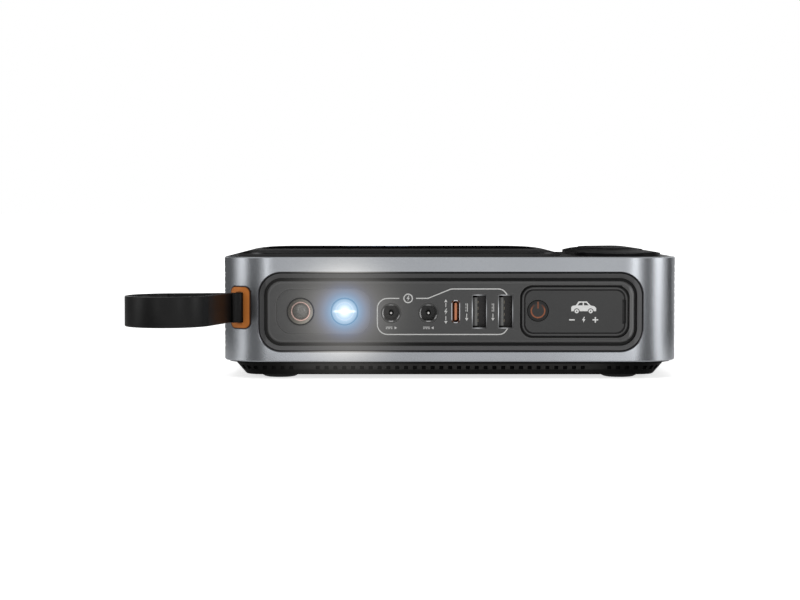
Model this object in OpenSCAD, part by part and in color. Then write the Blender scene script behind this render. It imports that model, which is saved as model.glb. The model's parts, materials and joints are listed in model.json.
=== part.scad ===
// Jump starter pack. An aluminium sleeve is held between a moulded top cover and a
// base tray. Its front window holds the lamps, the charging sockets, the power
// button and a rubber cover over the jump socket, and a strap hangs on one corner.
// Millimetres, +Z up. The origin is on the ground, under the middle of the sleeve,
// and the front looks along -Y. A depth is measured from the sleeve's front face.

/* [Sleeve] */
// Width of the sleeve
body_w = 180; // [174:1:190]
// Depth of the sleeve, front to back
body_d = 100; // [94:1:112]
// Height of the sleeve
sleeve_h = 41.1; // [40.5:0.1:46]
// Corner radius of the sleeve, seen from above
corner_r = 16; // [15:0.5:18]
// Wall of the sleeve
sleeve_t = 1.8; // [1.4:0.1:2]
// Chamfer on the rims of the sleeve
rim_c = 0.4; // [0.2:0.05:0.8]
// Pitch of the twin grooves on the end faces
band_pitch = 6.33; // [5.6:0.01:6.5]
// Distance between the two grooves of a pair
twin_w = 1.35; // [1:0.05:1.8]
// Half the width of a groove
groove_half = 0.25; // [0.15:0.05:0.35]
// Depth of a groove
groove_depth = 0.25; // [0.1:0.05:0.4]
// Half the width of the shallow flute between two pairs
flute_half = 0.8; // [0.4:0.1:1.2]
// Depth of the flute
flute_depth = 0.13; // [0.05:0.01:0.3]
// Angle by which the grooves run on round a corner
groove_wrap = 18; // [10:1:20]
// Height of the strap and the middle pair of grooves over the sleeve's middle
belt_rise = 0.7; // [0:0.1:1.2]

/* [Base tray] */
// Height of the skirt under the sleeve
skirt_h = 5.7; // [5:0.1:7]
// How far the skirt's top stands inside the sleeve's outline
skirt_in_top = 4.2; // [3:0.1:5]
// How far its foot stands inside the same outline
skirt_in_foot = 8.4; // [7.5:0.1:9.2]
// Height of the upright lip at the skirt's top
skirt_lip = 0.7; // [0.3:0.1:1]
// Rounding at the skirt's foot
skirt_round = 0.5; // [0.2:0.1:0.8]
// Floor of the tray
floor_t = 2; // [1.6:0.1:2.6]
// How far the tray's hollow stands inside the sleeve's outline
tray_in = 10.5; // [10:0.1:11.5]
// Pitch of the vent recesses round the skirt
vent_pitch = 3.5; // [3.2:0.1:5]
// Width of a vent recess
vent_w = 1.65; // [1:0.05:2]
// Height of a vent recess
vent_h = 1.5; // [1:0.1:2]
// Height of the vents' middle over the skirt's foot
vent_rise = 2.9; // [2.4:0.1:3.2]
// Depth of a vent recess at its middle
vent_depth = 1.3; // [0.8:0.1:1.8]
// Height of the spigot that locates the sleeve
spigot_h = 2.5; // [2:0.1:2.8]

/* [Feet and case screws] */
// Distance of a foot's centre from the middle, sideways
foot_x = 68; // [60:1:70]
// Distance of a foot's centre from the middle, front to back
foot_y = 31.4; // [28:0.1:33]
// Diameter of a foot at the skirt
foot_d = 14.8; // [12:0.1:15.4]
// Diameter of a foot on the ground
foot_tip_d = 9.4; // [8:0.1:11.5]
// How far a foot stands out
foot_h = 1.5; // [1:0.1:3]
// Depth of a foot's seat in the floor
foot_seat = 1; // [0.6:0.1:1.2]
// Distance of a case screw from the middle, sideways
case_x = 71; // [70:0.5:71.5]
// How far a case screw stands inside the sleeve's front or back
case_in = 18.6; // [18:0.1:19.5]
// Radius of a case screw
case_r = 1.5; // [1.2:0.1:1.8]
// Radius of its head
case_head_r = 2.8; // [2.4:0.1:3]
// Height of its head
case_head_h = 2; // [1.5:0.1:2.2]
// Length of its shank
case_len = 10; // [8:1:16]
// Radius of the long boss that it enters
boss_r = 3.5; // [3:0.1:3.7]

/* [Top cover] */
// Thickness of the deck
deck_t = 2.2; // [1.8:0.1:2.6]
// Depth of the cover's spigot in the sleeve
cover_h = 4; // [3.2:0.1:4.4]
// Wall of the spigots on the cover and the tray
spigot_t = 1.6; // [1.2:0.1:2.2]
// Height of the main island's crown over the sleeve
island_h = 3.55; // [2.6:0.05:5]
// Left end of the main island
island_x0 = -86.3; // [-86.5:0.1:-80]
// Right end of the main island
island_x1 = 45.5; // [38:0.5:46]
// Distance from the sleeve's front to an island's edge
island_in = 7; // [5:0.5:12]
// Rounding of the main island's corners, seen from above
island_r = 22; // [14:1:30]
// Length over which the island's ends fall away
island_fall = 30; // [18:1:32]
// Radius of the crown, front to back
crown_r = 420; // [300:10:900]
// Height of the upright edge at the island's ends
island_edge = 0.8; // [0.4:0.1:1]
// Left end of the right island
pad_x0 = 50.2; // [49:0.1:54]
// Right end of the right island
pad_x1 = 85.2; // [82:0.1:87]
// Height of the right island's crest over the sleeve
pad_h = 3.4; // [2.8:0.1:4]
// Height of its left edge
pad_left_h = 2.3; // [1.4:0.1:2.6]
// Height of its right edge
pad_right_h = 1.2; // [0.6:0.1:2]
// Distance of its crest from the left end
pad_crest = 15; // [12:0.5:18]
// Height of the raised pad on it
pad_step = 0.25; // [0.15:0.05:0.5]
// Width of the raised pad
pad_top_w = 24; // [18:1:26]
// Length of the raised pad, front to back
pad_top_l = 48; // [34:1:56]
// Width of the display window
display_w = 36; // [30:1:44]
// Depth of the display window, front to back
display_d = 20; // [16:1:26]
// Sideways place of the display
display_x = -29.2; // [-36:0.1:-20]
// Depth place of the display
display_y = 2; // [-6:1:8]
// Thickness of the display window at its middle
display_t = 1.7; // [1.2:0.1:2.4]

/* [Front window and bezel] */
// Width of the window in the sleeve
window_w = 150.9; // [150:0.1:151.5]
// Height of the window
window_h = 31; // [30.6:0.1:31.4]
// Corner radius of the window
window_r = 10; // [9:0.1:11]
// How far the window's middle lies under the sleeve's middle
window_drop = 1; // [0.5:0.1:1.3]
// Gap between the window and the bezel
window_gap = 0.15; // [0.1:0.05:0.3]
// Width of the bezel's sloping band
bezel_band = 2; // [1.6:0.1:2.4]
// Width of the dark groove between bezel and panel
groove_w = 1.15; // [0.8:0.05:1.4]
// Depth of the bezel's outer edge
bezel_sink = 0.4; // [0.2:0.1:0.8]
// Further depth of its inner edge
bezel_slope = 0.9; // [0.5:0.1:1.2]
// Thickness of the bezel's ledge
ledge_t = 1.5; // [1.2:0.1:2]
// How far the bezel's lip reaches behind the sleeve
bezel_lip = 1; // [0.8:0.1:1.1]

/* [Front panel] */
// Depth of the panel's face
panel_sink = 0.8; // [0.5:0.1:1]
// Thickness of the panel
panel_t = 2.5; // [2.2:0.1:2.8]
// Rounding of the panel's rim
panel_round = 0.7; // [0.4:0.1:1]
// Clearance between pieces that are pushed together
fit_gap = 0.1; // [0.05:0.01:0.15]

/* [Lamps] */
// Sideways place of the lamp window
lamp_window_x = -50; // [-51:0.1:-49]
// Width of the lamp window
lamp_window_w = 36.6; // [36:0.1:37.4]
// Height of the lamp window
lamp_window_h = 17.5; // [16:0.1:19]
// Depth of the lamp window under the panel's face
lamp_window_sink = 0.3; // [0.1:0.1:0.5]
// Distance between the two lamps
lamp_pitch = 17.3; // [16:0.1:18]
// Outer radius of a lamp barrel
barrel_r = 5.45; // [5:0.05:5.8]
// Radius of a barrel's mouth
barrel_mouth_r = 4.9; // [4.5:0.05:5]
// Radius of a barrel's bore
barrel_bore_r = 3.9; // [3.6:0.05:4.1]
// Length of a barrel
barrel_len = 7.7; // [7:0.1:9]
// Depth of a barrel's conical mouth
barrel_cone = 1.8; // [1.2:0.1:2.2]
// Inner radius of the orange trim ring
trim_bore_r = 3.3; // [3:0.05:3.4]
// Thickness of the trim ring
trim_t = 1; // [0.8:0.1:1.2]
// Height of the lens's dome
lens_dome = 1.2; // [0.8:0.1:1.4]
// Thickness of the lens's flange
lens_t = 0.8; // [0.6:0.1:1]
// Side of an emitter
led_w = 1.8; // [1.4:0.1:1.8]

/* [Sockets] */
// Sideways place of the output barrel jack
dc_out_x = -23.4; // [-23.8:0.1:-22]
// Sideways place of the input barrel jack
dc_in_x = -8.7; // [-11:0.1:-8]
// Bore radius of a barrel jack
dc_bore_r = 3.15; // [2.8:0.05:3.3]
// Half the height between the flats of its mouth
dc_flat = 2.95; // [2.7:0.05:3.1]
// Depth of a barrel jack
dc_depth = 10.6; // [9:0.1:11]
// Radius of a barrel jack's centre pin
dc_pin_r = 1; // [0.8:0.05:1.3]
// Sideways place of the small oval socket
type_c_x = 2; // [1:0.1:3]
// Height of the small oval socket's mouth
type_c_h = 8.4; // [8.3:0.1:8.6]
// Width of its mouth
type_c_w = 2.8; // [2.5:0.1:3]
// Sideways place of the first large socket
type_a_x = 11.3; // [10.5:0.1:12]
// Distance between the two large sockets
type_a_pitch = 10.3; // [9.5:0.1:10.5]
// Height of a large socket's mouth
type_a_h = 12.7; // [12.4:0.1:13]
// Width of its mouth
type_a_w = 5.3; // [5.1:0.1:5.6]
// Sheet of the socket shells
shell_t = 0.3; // [0.2:0.05:0.4]
// Depth of the port board's face
port_board_depth = 15.4; // [15:0.1:16.5]
// Thickness of every circuit board
board_t = 1.6; // [1.2:0.1:2]

/* [Jump socket and its cover] */
// Left end of the cover's pocket
pocket_x0 = 27.2; // [27.1:0.1:27.5]
// Width of the pocket
pocket_w = 43.1; // [42.5:0.1:43.4]
// Height of the pocket
pocket_h = 20.8; // [20:0.1:21]
// Corner radius of the pocket
pocket_r = 5; // [4:0.1:6]
// Depth of the pocket under the panel's face
pocket_sink = 2; // [1.8:0.1:2.2]
// Gap round the cover
cover_gap = 0.8; // [0.5:0.1:1]
// Sideways place of the cover's hinge line
hinge_x = 40.4; // [40:0.1:41]
// Gap between the cover's fixed and moving parts
hinge_gap = 0.3; // [0.3:0.05:0.5]
// Depth of the fine groove inside the cover's rim
cover_line = 0.4; // [0.2:0.1:0.6]
// Depth to which the cover's seal enters the socket's well
seal_h = 1.5; // [1:0.1:1.6]
// Gap round the seal
seal_gap = 0.5; // [0.4:0.05:0.7]
// Sideways place of the jump socket
jump_x = 55.3; // [55:0.1:55.6]
// Width of the socket's well
well_w = 24.6; // [24:0.1:25]
// Height of the well
well_h = 14.6; // [13:0.1:15]
// Wall of the well
well_t = 1.5; // [1.2:0.1:1.5]
// Depth of the well's back end
well_depth = 13; // [12.8:0.1:13.5]
// Depth of the jump socket's face
jump_face = 9; // [9:0.1:9.6]
// Distance between the two contacts
contact_pitch = 11; // [10.5:0.1:11.5]
// Bore radius of a contact
contact_bore_r = 2.5; // [2.3:0.05:2.6]

/* [Power button] */
// Sideways place of the button
button_x = 34.3; // [34.1:0.1:34.5]
// Radius of the button
button_r = 4; // [3.6:0.05:4.1]
// Travel of the button
button_travel = 0.6; // [0.4:0.1:0.6]
// Gap round the button
button_gap = 0.25; // [0.2:0.05:0.3]
// Radius of the power mark's ring
mark_r = 2.65; // [2.2:0.05:2.8]
// Stroke of the power mark
mark_stroke = 0.7; // [0.5:0.05:0.8]

/* [Strap] */
// Width of the strap
strap_w = 11.7; // [10:0.1:12]
// Thickness of one layer of the strap
strap_t = 1.6; // [1.2:0.1:1.7]
// Outer radius of the strap's loop
loop_r = 16.8; // [14:0.1:20]
// Distance from the strap's bend to the loop's centre
loop_reach = 30.2; // [27:0.1:38]
// Direction of the loop, measured from the front towards the left
loop_turn = 52.4; // [45:0.1:60]
// Direction of the slot in the corner, measured the same way
slot_turn = 38.5; // [37:0.1:42]
// Height of the orange eyelet
eyelet_h = 16.5; // [15.5:0.1:17]
// Width of the eyelet
eyelet_w = 9.6; // [9:0.1:10]
// How far the eyelet stands proud of the sleeve
eyelet_proud = 0.3; // [0.1:0.05:0.5]
// Gap round the strap in the eyelet
slot_gap = 0.25; // [0.15:0.05:0.3]
// Radius of the strap's anchor pin
anchor_r = 1.5; // [1:0.1:1.5]

/* [Battery] */
// Width of a cell
cell_w = 106; // [96:1:118]
// Depth of a cell, front to back
cell_d = 62; // [54:1:65]
// Thickness of a cell
cell_t = 8; // [6:0.1:8]
// Foam between two cells
foam_t = 0.8; // [0.4:0.1:0.8]

/* [Hidden] */
$fn = 96;

// Heights
skirt_z = foot_h;
sleeve_z = skirt_z + skirt_h;
rim_z = sleeve_z + sleeve_h;
sleeve_mid = sleeve_z + sleeve_h / 2;
belt_z = sleeve_mid + belt_rise;
window_z = sleeve_mid - window_drop;
floor_z = skirt_z + floor_t;
deck_z = rim_z - deck_t;

// Plan places
front = -body_d / 2;
corner_x = body_w / 2 - corner_r;
corner_y = body_d / 2 - corner_r;
inner_w = body_w - 2 * sleeve_t;
inner_d = body_d - 2 * sleeve_t;
inner_r = corner_r - sleeve_t;

// Front stack, as depths
panel_back = panel_sink + panel_t;
ledge_back = panel_back + ledge_t;
panel_edge = window_gap + bezel_band + groove_w;
panel_w = window_w - 2 * panel_edge;
panel_h = window_h - 2 * panel_edge;
panel_r = window_r - panel_edge;
socket_depth = panel_sink + 0.15;
front_hole = [58, 15.6];
front_hole_x = -0.5;

// Every height on the front stands off the window's middle
row_rise = 0.15;
lamp_z = window_z + row_rise;
dc_z = window_z - 0.45;
button_z = window_z + 0.45;
pocket_z = window_z + row_rise;
socket_z = window_z + row_rise;
jump_z = pocket_z;
lamp_mid = lamp_window_x - 0.35;
lamp_xs = [lamp_mid - lamp_pitch / 2, lamp_mid + lamp_pitch / 2];
type_a_xs = [type_a_x, type_a_x + type_a_pitch];
dc_xs = [dc_out_x, dc_in_x];

// Cover over the jump socket
pocket_x = pocket_x0 + pocket_w / 2;
pocket_floor = panel_sink + pocket_sink;
cover_w = pocket_w - 2 * cover_gap;
cover_hh = pocket_h - 2 * cover_gap;
cover_r = pocket_r - cover_gap;
cover_face = panel_sink + 0.1;
well_r = 2.5;
block_margin = 1;
block_back = pocket_floor + 2;

// Strap, in plan, from its bend just outside the eyelet
bend_r = corner_r + 1.3;
bend_x = -corner_x - bend_r * sin(slot_turn);
bend_y = -corner_y - bend_r * cos(slot_turn);
spread = 40;
neck_len = loop_reach - (loop_r - strap_t * cos(spread)) / sin(spread);
anchor_in = 7;
slot_w = 2 * (strap_t + slot_gap);
slot_h = strap_w + 2 * 0.15;
slot_r = 0.4;
flange_t = 1.5;
flange_w = 0.4;
flange_h = 1;
eyelet_r = 2.5;

// Inside. The battery stands by the left case screws' bosses and by the back wall
boss_foot = 1.2;
cell_gap = 0.3;
tray_wall = 1.5;
tray_floor = 1.5;
tray_h = 6;
tray_side = 0.5;
tray_back = 0.7;
cells_x = -case_x + boss_r + boss_foot + tray_side + tray_wall + cell_gap + cell_w / 2;
cells_y = body_d / 2 - tray_in - tray_back - tray_wall - cell_gap - cell_d / 2;
cells_z = floor_z + tray_floor;
cell_step = cell_t + foam_t;
cell_count = 4;
cell_end = cells_x + cell_w / 2;
board_hang = 3;
board_z = deck_z - board_hang - board_t;
screw_in = 5;
board_screws = [for (x = [-1, 1], y = [-1, 1])
    [cells_x + x * (cell_w / 2 - screw_in), cells_y + y * (cell_d / 2 - screw_in)]];
post_xs = [-28, 23];
post_rise = 11.6;
port_posts = [for (x = post_xs, z = [-1, 1]) [x, window_z + z * post_rise]];
port_post_r = 2.2;
board_screw_r = 0.95;
board_head_r = 1.9;
board_head_h = 1.2;
board_grip = 2.4;
port_grip = 5;
bus_t = 1;
bus_h = 8;
relay_w = 18;
relay_d = 27;
relay_side = 2.3;
relay_x0 = body_w / 2 - tray_in - relay_side - relay_w;
relay_z1 = jump_z + bus_h / 2 + 0.4;
case_screws_xy = [for (x = [-1, 1], y = [-1, 1]) [x * case_x, y * (body_d / 2 - case_in)]];
boss_z = floor_z + 3;

// Rounded rectangle, centred, with true arcs
module rounded(w, h, r) {
    square([w - 2 * r, h], center = true);
    square([w, h - 2 * r], center = true);
    for (x = [-1, 1], y = [-1, 1])
        translate([x * (w / 2 - r), y * (h / 2 - r)]) circle(r);
}

// Puts a flat shape drawn in X and Z between two depths behind the front face
module between(d0, d1)
    translate([0, front + d1, 0]) rotate([90, 0, 0]) linear_extrude(d1 - d0) children();

// Puts a revolved piece on the front at a depth, its own +Z looking out
module facing(x, z, depth)
    translate([x, front + depth, z]) rotate([90, 0, 0]) children();

// Ring with its back at z = 0
module tube(r_out, r_in, h) difference() {
    cylinder(r = r_out, h = h);
    translate([0, 0, -1]) cylinder(r = r_in, h = h + 2);
}

// Slab over a rounded rectangle whose edge follows side, a list of [inset, height]
module edged_slab(w, d, r, side) {
    count = len(side);
    z0 = side[0][1];
    z1 = side[count - 1][1];
    rotate([90, 0, 0]) linear_extrude(d - 2 * r, center = true)
        polygon(concat([for (p = side) [w / 2 - p[0], p[1]]],
            [for (i = [count - 1:-1:0]) [side[i][0] - w / 2, side[i][1]]]));
    rotate([90, 0, 90]) linear_extrude(w - 2 * r, center = true)
        polygon(concat([for (p = side) [d / 2 - p[0], p[1]]],
            [for (i = [count - 1:-1:0]) [side[i][0] - d / 2, side[i][1]]]));
    for (x = [-1, 1], y = [-1, 1])
        translate([x * (w / 2 - r), y * (d / 2 - r), 0]) rotate_extrude()
            polygon(concat([[0, z0]], [for (p = side) [r - p[0], p[1]]], [[0, z1]]));
}

// Inside outline of the sleeve, drawn in by a margin
module inside(margin)
    rounded(inner_w - 2 * margin, inner_d - 2 * margin, inner_r - margin);

// ---- Sleeve ----

plain_side = [[rim_c, sleeve_z], [0, sleeve_z + rim_c], [0, rim_z - rim_c], [rim_c, rim_z]];
outside = 0.2;

// Wedge that cuts one groove, its point at a depth and its mouth at the face
module wedge(z, half, depth) {
    mouth = half * (depth + outside) / depth;
    polygon([[-depth, z], [outside, z - mouth], [outside, z + mouth]]);
}

// Section of all the grooves: pairs of fine ones with a shallow flute between
module groove_section() for (i = [-5:5]) {
    z = belt_z + i * band_pitch / 2;
    if (i % 2 == 0) for (s = [-1, 1]) wedge(z + s * twin_w / 2, groove_half, groove_depth);
    else wedge(z, flute_half, flute_depth);
}

// The grooves run along an end face and a little way round both its corners
module side_grooves() for (x = [0, 1]) mirror([x, 0, 0]) {
    translate([body_w / 2, 0, 0]) rotate([90, 0, 0])
        linear_extrude(2 * corner_y, center = true) groove_section();
    for (y = [0, 1]) mirror([0, y, 0]) translate([corner_x, corner_y, 0])
        rotate_extrude(angle = groove_wrap) translate([corner_r, 0]) groove_section();
}

// Draws on the strap's corner: +Z looks out of the slot, X runs along the corner
module at_slot()
    translate([-corner_x, -corner_y, belt_z]) rotate([0, 0, -slot_turn]) rotate([90, 0, 0])
        children();

// Outline of the eyelet, seen along the slot
module eyelet_outline(side, end)
    rounded(eyelet_w + 2 * side, eyelet_h + 2 * end, eyelet_r + min(side, end));

module side_frame() color("silver") difference() {
    edged_slab(body_w, body_d, corner_r, plain_side);
    side_grooves();
    translate([0, 0, sleeve_z - 1]) linear_extrude(sleeve_h + 2) inside(0);
    facing(0, window_z, 0) edged_slab(window_w, window_h, window_r,
        [[0, -sleeve_t - 1], [0, -rim_c], [-rim_c, 0], [-rim_c, 1]]);
    at_slot() linear_extrude(corner_r + 2)
        eyelet_outline(fit_gap, fit_gap);
}

// ---- Top cover ----

// Points of an arc that falls from z = 0 over a length, first gently, then steeply
function fall(t) = 0.55 * t * t + 0.45 * pow(t, 6);

// Side profile of an island between two ends, with its top at height h
module island_profile(x0, x1, h, drop, length)
    polygon(concat(
        [[x0, 0]],
        [for (i = [8:-1:1]) let (t = i / 8) [x0 + length * (1 - t), h - drop * fall(t)]],
        [for (i = [1:8]) let (t = i / 8) [x1 - length * (1 - t), h - drop * fall(t)]],
        [[x1, 0]]));

// Crown from front to back, as a solid that trims an island
module crown(top) translate([0, 0, rim_z]) rotate([90, 0, 90])
    linear_extrude(body_w, center = true) polygon(concat(
        [[-body_d / 2, -1]],
        [for (i = [-10:10]) let (y = i * body_d / 20) [y, top - y * y / (2 * crown_r)]],
        [[body_d / 2, -1]]));

deck_edge = 0.3;
display_r = 3;
// Ledge that the display window rests on
display_ledge = 2;
post_r = 2.5;
module main_island() intersection() {
    translate([0, 0, rim_z]) rotate([90, 0, 0]) linear_extrude(body_d, center = true)
        island_profile(island_x0, island_x1, island_h, island_h - island_edge, island_fall);
    crown(island_h);
    translate([(island_x0 + island_x1) / 2, 0, rim_z]) linear_extrude(island_h + 1)
        rounded(island_x1 - island_x0, body_d - 2 * island_in, island_r);
}

// Height of the right island along X: blunt on the left of its crest, slow on the right
function pad_height(u) = u < pad_crest
    ? pad_h - (pad_h - pad_left_h) * pow(1 - u / pad_crest, 4)
    : pad_h - (pad_h - pad_right_h) * pow((u - pad_crest) / (pad_x1 - pad_x0 - pad_crest), 2);

// Part of the right island over a rounded outline, raised by a step
module pad_layer(mid, w, l, step) intersection() {
    translate([pad_x0, 0, rim_z]) rotate([90, 0, 0]) linear_extrude(body_d, center = true)
        polygon(concat([[0, 0]],
            [for (i = [0:16]) let (u = i * (pad_x1 - pad_x0) / 16) [u, pad_height(u) + step]],
            [[pad_x1 - pad_x0, 0]]));
    crown(pad_h + step);
    translate([mid, 0, rim_z]) linear_extrude(pad_h + 1) rounded(w, l, w / 2 - 0.5);
}

module right_island() {
    mid = (pad_x0 + pad_x1) / 2;
    pad_layer(mid, pad_x1 - pad_x0, body_d - 2 * island_in, 0);
    pad_layer(mid, pad_top_w, pad_top_l, pad_step);
}

module display_cut(gap)
    translate([display_x, display_y, rim_z + island_h - display_t])
        linear_extrude(display_t + 1)
            rounded(display_w + 2 * gap, display_d + 2 * gap, display_r + gap);

module top_cover() color([0.06, 0.06, 0.065]) difference() {
    union() {
        deck();
        main_island();
        right_island();
        for (p = case_screws_xy)
            translate([p[0], p[1], boss_z]) cylinder(r = boss_r, h = deck_z - boss_z + 0.5);
        for (p = board_screws) translate([p[0], p[1], board_z + board_t])
            cylinder(r = post_r, h = board_hang + 0.5);
    }
    display_cut(fit_gap);
    translate([display_x, display_y, deck_z - 1]) linear_extrude(display_t + 10)
        square([display_w - 2 * display_ledge, display_d - 2 * display_ledge], center = true);
    for (p = case_screws_xy)
        translate([p[0], p[1], boss_z - 1]) cylinder(r = case_r + 0.05, h = case_len + 3);
    for (p = board_screws)
        translate([p[0], p[1], board_z])
            cylinder(r = board_screw_r + 0.05, h = deck_z - board_z + 1);
}

// Deck and the spigot under it that locates the sleeve
module deck() {
    edged_slab(inner_w - 2 * fit_gap, inner_d - 2 * fit_gap, inner_r - fit_gap,
        [[0, deck_z], [0, rim_z - deck_edge], [deck_edge, rim_z]]);
    difference() {
        translate([0, 0, rim_z - cover_h]) linear_extrude(cover_h - deck_t + 0.5) inside(fit_gap);
        translate([0, 0, rim_z - cover_h - 1]) linear_extrude(cover_h)
            inside(fit_gap + spigot_t);
    }
}

module display_window() color([0.03, 0.03, 0.04]) intersection() {
    main_island();
    display_cut(0);
}

module display_module() color([0.1, 0.12, 0.2])
    translate([display_x, display_y, board_z + board_t])
        linear_extrude(rim_z + island_h - display_t - board_z - board_t)
            square([display_w - 2 * display_ledge - 1, display_d - 2 * display_ledge - 1],
                center = true);

// ---- Base tray ----

skirt_side = [
    [skirt_in_foot + skirt_round, skirt_z], [skirt_in_foot, skirt_z + skirt_round * 0.6],
    [skirt_in_top + 0.1, sleeve_z - skirt_lip], [skirt_in_top, sleeve_z]];
vent_z = skirt_z + vent_rise;
// How far inside the sleeve's outline the skirt's face is at the vents' height
vent_in = skirt_in_foot + (skirt_in_top - skirt_in_foot)
    * (vent_z - skirt_z) / (skirt_h - skirt_lip);
vent_len = 4;
// Height of the tray's ledge over the skirt's top
ledge_h = 1.5;

module vent() translate([0, 0, -vent_h / 2]) linear_extrude(vent_h)
    translate([-vent_w / 2, -vent_depth]) square([vent_w, vent_len + vent_depth]);

// Stretch on each half of the front and the back that has no vents
vent_stop = [54.5, 61];

// Rows along the four straights, and a few round each corner
module vents() {
    across = floor(2 * corner_x / vent_pitch);
    along = floor(2 * corner_y / vent_pitch);
    turn_r = corner_r - vent_in;
    turns = max(2, floor(turn_r * PI / 2 / vent_pitch));
    for (side = [0, 180]) rotate([0, 0, side]) for (i = [0:across]) {
        x = (i - across / 2) * vent_pitch;
        if (abs(x) < vent_stop[0] || abs(x) > vent_stop[1])
            translate([x, body_d / 2 - vent_in, vent_z]) vent();
    }
    for (side = [90, 270]) rotate([0, 0, side]) for (i = [0:along])
        translate([(i - along / 2) * vent_pitch, body_w / 2 - vent_in, vent_z]) vent();
    for (x = [0, 1], y = [0, 1]) mirror([x, 0, 0]) mirror([0, y, 0])
        translate([corner_x, corner_y, vent_z]) for (i = [1:turns])
            rotate([0, 0, -90 * i / (turns + 1)]) translate([0, turn_r, 0]) vent();
}

module base_tray() color([0.09, 0.09, 0.09]) difference() {
    union() {
        difference() {
            union() {
                edged_slab(body_w, body_d, corner_r, skirt_side);
                translate([0, 0, sleeve_z - 0.5]) linear_extrude(spigot_h + 0.5) inside(fit_gap);
            }
            translate([0, 0, floor_z]) linear_extrude(skirt_h + spigot_h)
                rounded(body_w - 2 * tray_in, body_d - 2 * tray_in, corner_r - tray_in);
            translate([0, 0, sleeve_z + ledge_h]) linear_extrude(spigot_h)
                inside(fit_gap + spigot_t);
        }
        for (p = case_screws_xy)
            translate([p[0], p[1], floor_z - 0.5])
                cylinder(r = boss_r + boss_foot, h = boss_z - floor_z + 0.5);
    }
    vents();
    for (x = [-1, 1], y = [-1, 1]) translate([x * foot_x, y * foot_y, skirt_z - 1])
        cylinder(r = foot_d / 2 + fit_gap, h = foot_seat + 1);
    for (p = case_screws_xy) translate([p[0], p[1], skirt_z]) {
        cylinder(r = case_head_r + fit_gap, h = foot_seat + case_head_h + 0.2);
        cylinder(r = case_r + fit_gap, h = 10);
    }
}

// The side of a foot follows a quarter of an ellipse
foot_side = [for (a = [0:15:90]) [foot_tip_d / 2 + (foot_d - foot_tip_d) / 2 * sin(a),
    foot_h * (1 - cos(a))]];
module feet() color([0.05, 0.05, 0.05]) for (x = [-1, 1], y = [-1, 1])
    translate([x * foot_x, y * foot_y, 0]) rotate_extrude()
        polygon(concat([[0, 0]], foot_side,
            [[foot_d / 2, foot_h + foot_seat], [0, foot_h + foot_seat]]));

module case_screws() color("gray") for (p = case_screws_xy)
    translate([p[0], p[1], skirt_z + foot_seat + 0.2]) difference() {
        union() {
            cylinder(r = case_head_r, h = case_head_h);
            cylinder(r = case_r, h = case_head_h + case_len);
        }
        translate([0, 0, -1]) cylinder(r = 1.2, h = 2.2, $fn = 6);
    }

// ---- Bezel and panel ----

// Outline of the cover's pocket, let out by a margin
module pocket_outline(margin) translate([pocket_x, pocket_z])
    rounded(pocket_w + 2 * margin, pocket_h + 2 * margin, pocket_r + margin);

// Outline of the jump socket's well, let out by a margin
module well_outline(margin) translate([jump_x, jump_z])
    rounded(well_w + 2 * margin, well_h + 2 * margin, well_r + margin);

module front_bezel() color([0.16, 0.16, 0.165]) difference() {
    union() {
        facing(0, window_z, 0) edged_slab(window_w - 2 * window_gap, window_h - 2 * window_gap,
            window_r - window_gap,
            [[0, -ledge_back], [0, -bezel_sink - 0.3], [0.3, -bezel_sink]]);
        intersection() {
            between(sleeve_t, panel_back) translate([0, window_z])
                rounded(window_w + 2 * bezel_lip, window_h + 2 * bezel_lip, window_r + bezel_lip);
            translate([0, 0, sleeve_z]) linear_extrude(sleeve_h) inside(fit_gap);
        }
        for (p = port_posts) facing(p[0], p[1], port_board_depth)
            cylinder(r = port_post_r, h = port_board_depth - ledge_back + 0.5);
    }
    // The band slopes in to the groove
    facing(0, window_z, 0) edged_slab(panel_w + 2 * groove_w, panel_h + 2 * groove_w,
        panel_r + groove_w, [[0, -panel_back], [0, -bezel_sink - bezel_slope],
            [0.4 - bezel_band, -bezel_sink], [0.4 - bezel_band, 1]]);
    between(panel_back - 1, ledge_back + 1) {
        translate([lamp_window_x, lamp_z]) rounded(lamp_window_w - 6, lamp_window_h - 5, 3);
        translate([front_hole_x, window_z]) rounded(front_hole[0], front_hole[1], 2);
        pocket_outline(block_margin + fit_gap);
    }
    for (p = port_posts) facing(p[0], p[1], port_board_depth)
        translate([0, 0, -1]) cylinder(r = board_screw_r + 0.05, h = port_grip + 2);
}

// Panel edge, rounded in three steps
panel_side = [[0, -panel_back], [0, -panel_sink - panel_round],
    [panel_round * 0.13, -panel_sink - panel_round * 0.5],
    [panel_round * 0.5, -panel_sink - panel_round * 0.13], [panel_round, -panel_sink]];

module front_panel() color([0.27, 0.27, 0.275]) difference() {
    union() {
        facing(0, window_z, 0) edged_slab(panel_w, panel_h, panel_r, panel_side);
        // Block behind the pocket, and the well of the jump socket
        between(panel_back - 0.5, block_back) pocket_outline(block_margin);
        between(panel_back, well_depth) well_outline(well_t);
    }
    between(0, panel_back + 1) {
        translate([lamp_window_x, lamp_z])
            rounded(lamp_window_w + 2 * fit_gap, lamp_window_h + 2 * fit_gap, 6 + fit_gap);
        for (x = dc_xs) translate([x, dc_z]) circle(r = dc_bore_r + 0.8 + fit_gap);
        translate([type_c_x, socket_z]) rounded(type_c_w + 2 * shell_t + 2 * fit_gap,
            type_c_h + 2 * shell_t + 2 * fit_gap, type_c_w / 2);
        for (x = type_a_xs) translate([x, socket_z])
            square([type_a_w + 2 * shell_t + 2 * fit_gap, type_a_h + 2 * shell_t + 2 * fit_gap],
                center = true);
    }
    between(0, pocket_floor) pocket_outline(0);
    between(0, well_depth + 1) {
        well_outline(0);
        translate([button_x, button_z]) circle(r = button_r + button_gap);
    }
}

// ---- Lamps ----

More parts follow.
